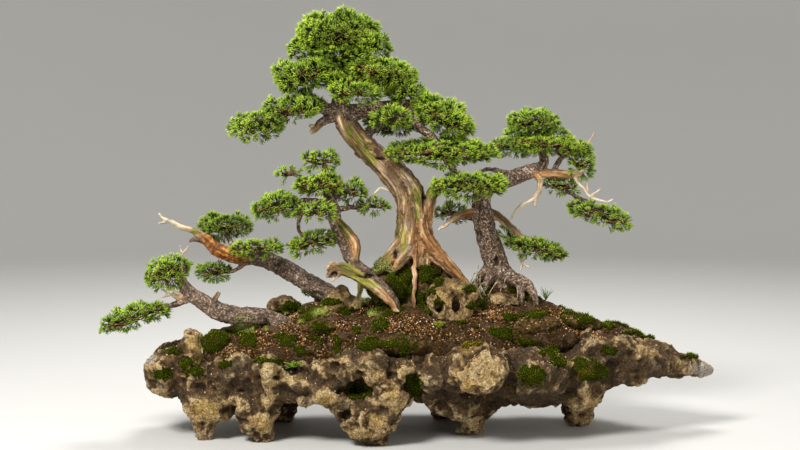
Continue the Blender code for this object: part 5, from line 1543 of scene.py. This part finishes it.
def growing_foliage():
    """Grows sprays all over a pad's core, more thinly on its underside."""
    tree, size, result = geometry_tree(
        "juniper_foliage", spacing=0.006, seed=1, jitter=0.3, least=0.68, most=1.18, shapes="Collection",
        shape_finish="Material", surface_finish="Material")
    level = add(tree, "ShaderNodeSeparateXYZ", add(tree, "GeometryNodeInputNormal")).outputs["Z"]
    points = points_on(tree, size, between(tree, level, -0.8, -0.3, 1.0, 0.55))
    sprays = planted(tree, size, points, stored(tree, "grow", "FLOAT_VECTOR"), SPRAY_SHAPES - 1,
                     stored(tree, "vigour"))
    sunk = add(tree, "MULTIPLY", between(tree, level, 0.1, -0.6, -2.4, -1.0), CORE_INSET * MM)
    core = add(tree, "GeometryNodeSetMaterial", {"Geometry": pushed(tree, size["Geometry"], sunk),
                                                 "Material": size["surface_finish"]})
    give_all(tree, result, core, sprays)
    return tree


def golden_directions(count):
    """Directions spread evenly over a sphere."""
    heights = 1 - 2 * (np.arange(count) + 0.5) / count
    turns = np.arange(count) * math.pi * (3 - math.sqrt(5))
    radii = np.sqrt(1 - heights ** 2)
    return np.stack([radii * np.cos(turns), radii * np.sin(turns), heights], axis=1)


def pad_core(name, order, shape):
    """The mass inside a pad, which its finish paints dark as shade: an ellipsoid that is flatter below and
    swells into tufts.
    """
    x, y, z, rx, ry, rz, lean = shape
    reach = np.array([max(LEAST_CORE * r, r - depth * SPRAY_LENGTH)
                      for r, depth in zip((rx, ry, rz), CORE_DEPTHS)])
    bm = bmesh.new()
    bmesh.ops.create_icosphere(bm, subdivisions=4, radius=1.0)
    mesh = mesh_of(bm, name)
    unit = corners_of(mesh).astype(float)
    sections = (reach[0] * reach[1], reach[0] * reach[2], reach[1] * reach[2])
    area = 4 * math.pi * (sum(section ** 1.6 for section in sections) / 3) ** (1 / 1.6)
    count = max(7, round(area / (2.6 * CLUMP_SIZE ** 2)))
    luck = np.random.default_rng(seed_of(name) + order)
    clumps = golden_directions(count) + luck.uniform(-0.16, 0.16, (count, 3))
    clumps = clumps / np.linalg.norm(clumps, axis=1, keepdims=True) * reach
    swells = luck.uniform(0.45, 1.3, count)
    body = unit * reach
    far = np.linalg.norm(body[:, None, :] - clumps[None, :, :], axis=2)
    near = far.argmin(axis=1)
    dome = np.clip(1 - (far[np.arange(len(unit)), near] / (1.25 * CLUMP_SIZE)) ** 2, 0, 1)
    depth = CLUMP_DEPTH * min(1.0, reach[2] / 12)
    outward = unit / reach
    outward /= np.linalg.norm(outward, axis=1, keepdims=True)
    body += outward * (depth * (dome * swells[near] - 0.75))[:, None]
    body[:, 2] = np.where(body[:, 2] < 0, body[:, 2] * 0.85, body[:, 2])
    fan = body - clumps[near] * FAN_POINT
    fan /= np.linalg.norm(fan, axis=1, keepdims=True)
    turn = np.array(Matrix.Rotation(math.radians(-lean), 3, "Y"))
    body = (body @ turn.T + np.array((x, y, z - CORE_DROP)) + np.array(ROUTE_SHIFT)) * MM
    put_corners(mesh, body)
    mesh.shade_smooth()
    flat = (unit @ turn.T) * (1, 1, 0)
    grow = fan @ turn.T * 0.75 + normals_of(mesh) * 0.3 + flat * 0.2 + np.array((0, 0, 0.3))
    grow /= np.linalg.norm(grow, axis=1, keepdims=True)
    keep_attribute(mesh, "grow", grow)
    keep_attribute(mesh, "vigour", 0.72 + 0.38 * dome * swells[near])
    return link(name + "_form", mesh)


def seed_of(name):
    """A number that a name always gives."""
    return sum((place + 1) * ord(letter) for place, letter in enumerate(name))


def juniper_foliage():
    """Fresh scale foliage: yellow green at the growing tips, deeper green behind them, brown where it is old,
    and darker all over where a pad lies in shade."""
    made, tree, shader = finish("juniper_foliage", 0.55, 0.35)
    tip = stored(tree, "tip")
    young = spread_ramp(tree, tip, (0.0, "2a2c0a"), (0.25, "333e0a"), (0.55, "6f8a18"), (0.8, "acc832"),
                        (1.0, "dcee60"))
    old = spread_ramp(tree, tip, (0.0, "242608"), (0.28, "26300a"), (0.58, "4e6a14"), (0.85, "83a026"),
                      (1.0, "aac440"))
    drift = add(tree, "MULTIPLY_ADD", grained(tree, 45, 2.0), 2.0, -1.0)
    mixed = between(tree, add(tree, "ADD", stored(tree, "tint"), drift), 0.25, 0.9)
    colour = blended(tree, mixed, young, old)
    # Painted shade: pads that lie behind or in shade are darker all over
    colour = blended(tree, add(tree, "MULTIPLY", stored(tree, "shade"), 0.6), colour, "2b3d0e")
    feed(tree, shader, "Base Color", colour)
    return made


def under_pad(middle, turn, reach, tilt, way, rise):
    """A place under a pad: tilted from straight below, turned about, and raised by so many millimetres."""
    return middle + turn @ Vector((
        math.sin(tilt) * math.cos(way) * reach.x, math.sin(tilt) * math.sin(way) * reach.y,
        -math.cos(tilt) * reach.z + rise))


def make_twigs():
    """Ribs of twigs under each pad, from the limb that carries it out to the rim."""
    # Bark of twigs: orange brown and tan, with grey scales where it is older
    bark = speckled("young_juniper_bark", 0.8, 0.3, (5.0, 3.0, 0.65), (0.32, "2f200e"), (0.46, "63481f"),
                    (0.58, "94713e"), (0.7, "c2a376"))
    for name, pads in PADS.items():
        limbs = TREES[name + "_tree"][0]
        wood = np.vstack([smooth_route(points, letters, 5.0) for points, letters in limbs])[:, :3]
        bm = bmesh.new()
        for pad, (x, y, z, rx, ry, rz, lean) in pads.items():
            luck = random.Random(seed_of(pad))
            reach = Vector((rx, ry, 0.85 * rz)) - Vector((1, 1, 1)) * (0.62 * SPRAY_LENGTH)
            reach.z = max(reach.z, 0.45 * rz)
            pose = Vector((x, y, z)), Matrix.Rotation(math.radians(-lean), 3, "Y"), reach
            count = max(5, min(16, round(rx * ry / 150)))
            for rib in range(count):
                angle = (rib + luck.uniform(-0.35, 0.35)) * math.tau / count
                ways = [(0.35, angle)]
                ways += [(tilt, angle + luck.uniform(-most, most))
                         for tilt, most in ((0.8, 0.2), (1.25, 0.25), (1.6, 0.3))]
                places = [under_pad(*pose, tilt, way, luck.uniform(-1.5, 1.0)) for tilt, way in ways]
                anchor = Vector(wood[np.linalg.norm(wood - np.array(places[0]), axis=1).argmin()])
                main = [(*place, size) for place, size in zip([anchor, *places], (1.5, 1.2, 1.0, 0.8, 0.55))]
                limb_form(bm, smooth_route(main, "b", 9.0), 0.0, 0.0, 3)
                for start, spread in ((1, 0.5), (2, -0.4), (2, 0.45)):
                    tilt, way = ways[start]
                    out = under_pad(*pose, tilt + 0.55, way + spread, luck.uniform(-1, 1))
                    fork = [(*places[start], 0.8), (*places[start].lerp(out, 0.6), 0.65), (*out, 0.45)]
                    limb_form(bm, smooth_route(fork, "b", 12.0), 0.0, 0.0, 3)
        mesh = mesh_of(bm, name)
        mesh.materials.append(bark)
        finished(link(name, mesh), name + "_twigs", "bark")


def make_foliage():
    tree = growing_foliage()
    sprays = shapes_of([spray(index) for index in range(SPRAY_SHAPES)])
    foliage = juniper_foliage()
    # The inside of a pad, nearly black green as painted shade: old foliage and twigs that get little light
    inside = speckled("shaded_foliage", 0.9, 0.1, (3.0, 3.0, 0.7), (0.35, "141606"), (0.55, "2a3110"),
                      (0.7, "46361a"), relief=3.0)
    for pads in PADS.values():
        for name, shape in pads.items():
            shapes = [shape, *INFILL.get(name, ())]
            pad = joined([pad_core(name, order, shape) for order, shape in enumerate(shapes)])
            run_tree(pad, tree, spacing=SPRAY_SPACING * MM, seed=seed_of(name), jitter=0.34, shapes=sprays,
                     shape_finish=foliage, surface_finish=inside)
            keep_attribute(pad.data, "shade", np.full(len(pad.data.vertices), DARK_PADS.get(name, 0.0)))
            finished(pad, name + "_foliage", "foliage", name)
    dropped(sprays)


# Small plants: each stands at a foot (x, y, z), and has so many stems of so many millimetres that lean out
# by a share of their length, with leaflets so long and so wide along their upper part, and three greens

PLANTS = {
    "grass_tuft": dict(foot=(186, 14, 168), stems=20, length=20, lean=0.5, radius=0.6, leaflets=0,
                       leaf=(0, 0), greens=("3f5220", "5f7a2e", "8fa552")),
    "yellow_herb": dict(foot=(43, -78, 144), stems=12, length=11, lean=0.8, radius=0.4, leaflets=5,
                        leaf=(4.5, 2.4), greens=("5d6a12", "8e9a1e", "bfc244")),
    "small_fern": dict(foot=(-137, -100, 98), stems=10, length=14, lean=1.6, radius=0.4, leaflets=9,
                       leaf=(5.0, 2.2), greens=("46640f", "6f9420", "a6c546")),
}
# Thin bare roots that hang over the rock by the right tree, with the radius that they all start with
ROOTLETS = [
    [(98, 12, 214), (94, 4, 201), (95, -3, 186), (92, -7, 168)],
    [(128, 4, 206), (121, -6, 197), (113, -11, 185), (107, -13, 168)],
    [(98, 2, 198), (101, -9, 184), (109, -13, 168)],
    [(102, 4, 208), (92, -5, 198), (84, -9, 189), (77, -12, 176)],
    [(86, -24, 190), (95, -26, 186), (101, -22, 172)],
    [(104, 2, 192), (96, -10, 186), (88, -16, 174)],
    [(84, -24, 188), (76, -31, 186), (66, -34, 190)],
    [(132, 2, 200), (128, -10, 190), (122, -14, 170)],
    [(140, 2, 198), (146, -10, 188), (144, -14, 168)],
    [(92, 0, 206), (86, -8, 196), (88, -14, 186), (84, -16, 172)],
]
ROOTLET_RADIUS = 0.8


def leaflet(bm, place, way, length, width):
    """A small flat leaf from a place, in metres."""
    turn = way.to_track_quat("Z", "Y").to_matrix().to_4x4()
    shape = Matrix.Diagonal((0.5 * width * MM, 0.16 * width * MM, 0.5 * length * MM, 1))
    middle = Matrix.Translation(place + way * 0.5 * length * MM)
    bmesh.ops.create_icosphere(bm, subdivisions=1, radius=1.0, matrix=middle @ turn @ shape)


def make_plants():
    """The grass, the herb and the fern, and the bare rootlets."""
    up = Vector((0, 0, 1))
    for name, plant in PLANTS.items():
        luck = random.Random(seed_of(name))
        bm = bmesh.new()
        foot = Vector(plant["foot"])
        for stem in range(plant["stems"]):
            turn = stem * math.pi * (3 - math.sqrt(5)) + luck.uniform(-0.3, 0.3)
            side = Vector((math.cos(turn), math.sin(turn), 0))
            length = plant["length"] * luck.uniform(0.6, 1.0)
            lean = plant["lean"] * luck.uniform(0.3, 1.0)
            way = (side * lean + up).normalized()
            bend = side * 0.35 * lean - Vector((0, 0, 0.3 * lean))
            points = [foot + side * share * 1.5 + way * length * share + bend * length * share ** 2
                      for share in (0.0, 0.35, 0.7, 1.0)]
            sizes = [plant["radius"] * size for size in (1.0, 0.9, 0.65, 0.2)]
            rows = smooth_route([(*point, size) for point, size in zip(points, sizes)], "d", 6.0)
            limb_form(bm, rows, 0.0, 0.0, 3)
            for leaf in range(plant["leaflets"]):
                row = rows[round((0.35 + 0.65 * leaf / plant["leaflets"]) * (len(rows) - 1))]
                out = side.cross(up) * (-1) ** leaf + way * 0.7 + Vector((0, 0, luck.uniform(-0.2, 0.4)))
                shrink = luck.uniform(0.7, 1.0) * (1.15 - 0.5 * leaf / plant["leaflets"])
                long, wide = (size * shrink for size in plant["leaf"])
                leaflet(bm, (Vector(row[:3]) + ROUTE_SHIFT) * MM, out.normalized(), long, wide)
        mesh = mesh_of(bm, name)
        # Thin young leaves, which look fresh in greens that vary from one to the next
        mesh.materials.append(speckled(name + "_leaves", 0.5, 0.4, (4.0, 2.0),
                                       *zip((0.35, 0.5, 0.65), plant["greens"])))
        finished(link(name + "_form", mesh), name + "_leaves", "plants", name)

    bm = bmesh.new()
    for points in ROOTLETS:
        sizes = np.linspace(ROOTLET_RADIUS, 0.55 * ROOTLET_RADIUS, len(points))
        route = smooth_route([(*point, size) for point, size in zip(points, sizes)], "d", 3.0)
        limb_form(bm, knotty(route), 0.0, 0.0, 5)
    mesh = mesh_of(bm, "rootlets")
    # Dry bare roots: pale straw grey, with darker lengths
    mesh.materials.append(speckled("bare_root", 0.85, 0.25, (6.0, 3.0), (0.35, "5d5139"), (0.5, "968a6a"),
                                   (0.65, "c2b896")))
    finished(link("rootlets_form", mesh), "pale_rootlets", "bark")


# The studio

# A round floor that curves up into a wall, so that it is plain behind the object from every side, in metres
FLOOR_RADIUS = 2.6
COVE_RADIUS = 1.4
COVE_STEPS = 12
WALL_HEIGHT = 3.6
WALL_SIDES = 96
FLOOR_COLOUR = "cfcdc8"
ROOM_COLOUR = "e4e6ea"
ROOM_LIGHT = 0.42
# Each light's place and width in metres, and its power in watts
LIGHTS = {"key": ((-1.0, -1.5, 1.9), 0.7, 78), "fill": ((1.7, -1.3, 0.9), 1.2, 9),
          "top": ((0.2, 0.7, 2.0), 0.8, 30)}


def make_studio():
    floor, _, shader = finish("pale_floor", 0.6)
    shader.inputs["Base Color"].default_value = srgb(FLOOR_COLOUR)
    profile = [(FLOOR_RADIUS, 0.0)]
    profile += [(FLOOR_RADIUS + COVE_RADIUS * math.sin(turn), COVE_RADIUS * (1 - math.cos(turn)))
                for turn in (math.pi / 2 * (step + 1) / COVE_STEPS for step in range(COVE_STEPS))]
    profile.append((FLOOR_RADIUS + COVE_RADIUS, WALL_HEIGHT))
    turns = [math.tau * side / WALL_SIDES for side in range(WALL_SIDES)]
    bm = bmesh.new()
    rings = [[bm.verts.new((out * math.cos(turn), out * math.sin(turn), up)) for turn in turns]
             for out, up in profile]
    bm.faces.new(rings[0])
    for low_ring, high_ring in zip(rings, rings[1:]):
        for side in range(WALL_SIDES):
            after = (side + 1) % WALL_SIDES
            bm.faces.new((low_ring[after], low_ring[side], high_ring[side], high_ring[after]))
    mesh = mesh_of(bm, "studio_floor")
    mesh.shade_smooth()
    mesh.materials.append(floor)
    link("studio_floor", mesh)
    world = bpy.data.worlds.new("studio")
    world.use_nodes = True
    room = world.node_tree.nodes["Background"]
    room.inputs["Color"].default_value = srgb(ROOM_COLOUR)
    room.inputs["Strength"].default_value = ROOM_LIGHT
    bpy.context.scene.world = world
    for name, (place, size, power) in LIGHTS.items():
        light = bpy.data.lights.new(name, "AREA")
        light.size = size
        light.energy = power
        lamp = link(name, light)
        lamp.location = place
        lamp.rotation_euler = (LOOKED_AT * MM - Vector(place)).to_track_quat("-Z", "Y").to_euler()
    eye, _, _, forward = camera_place()
    camera = link("camera", bpy.data.cameras.new("camera"))
    camera.location = eye
    camera.rotation_euler = forward.to_track_quat("-Z", "Y").to_euler()
    camera.data.sensor_width = SENSOR
    camera.data.lens = SENSOR * CAMERA_DISTANCE / PIXEL_SIZE / PICTURE[0]
    bpy.context.scene.camera = camera
    bpy.context.scene.view_settings.view_transform = "Standard"


make_studio()
stone = limestone()
erosion = weathering()
slab = make_rock(erosion, stone)
stones = make_stones(erosion, stone)
make_ground(slab, stones)
make_root_moss(make_trees())
make_foliage()
make_twigs()
make_plants()
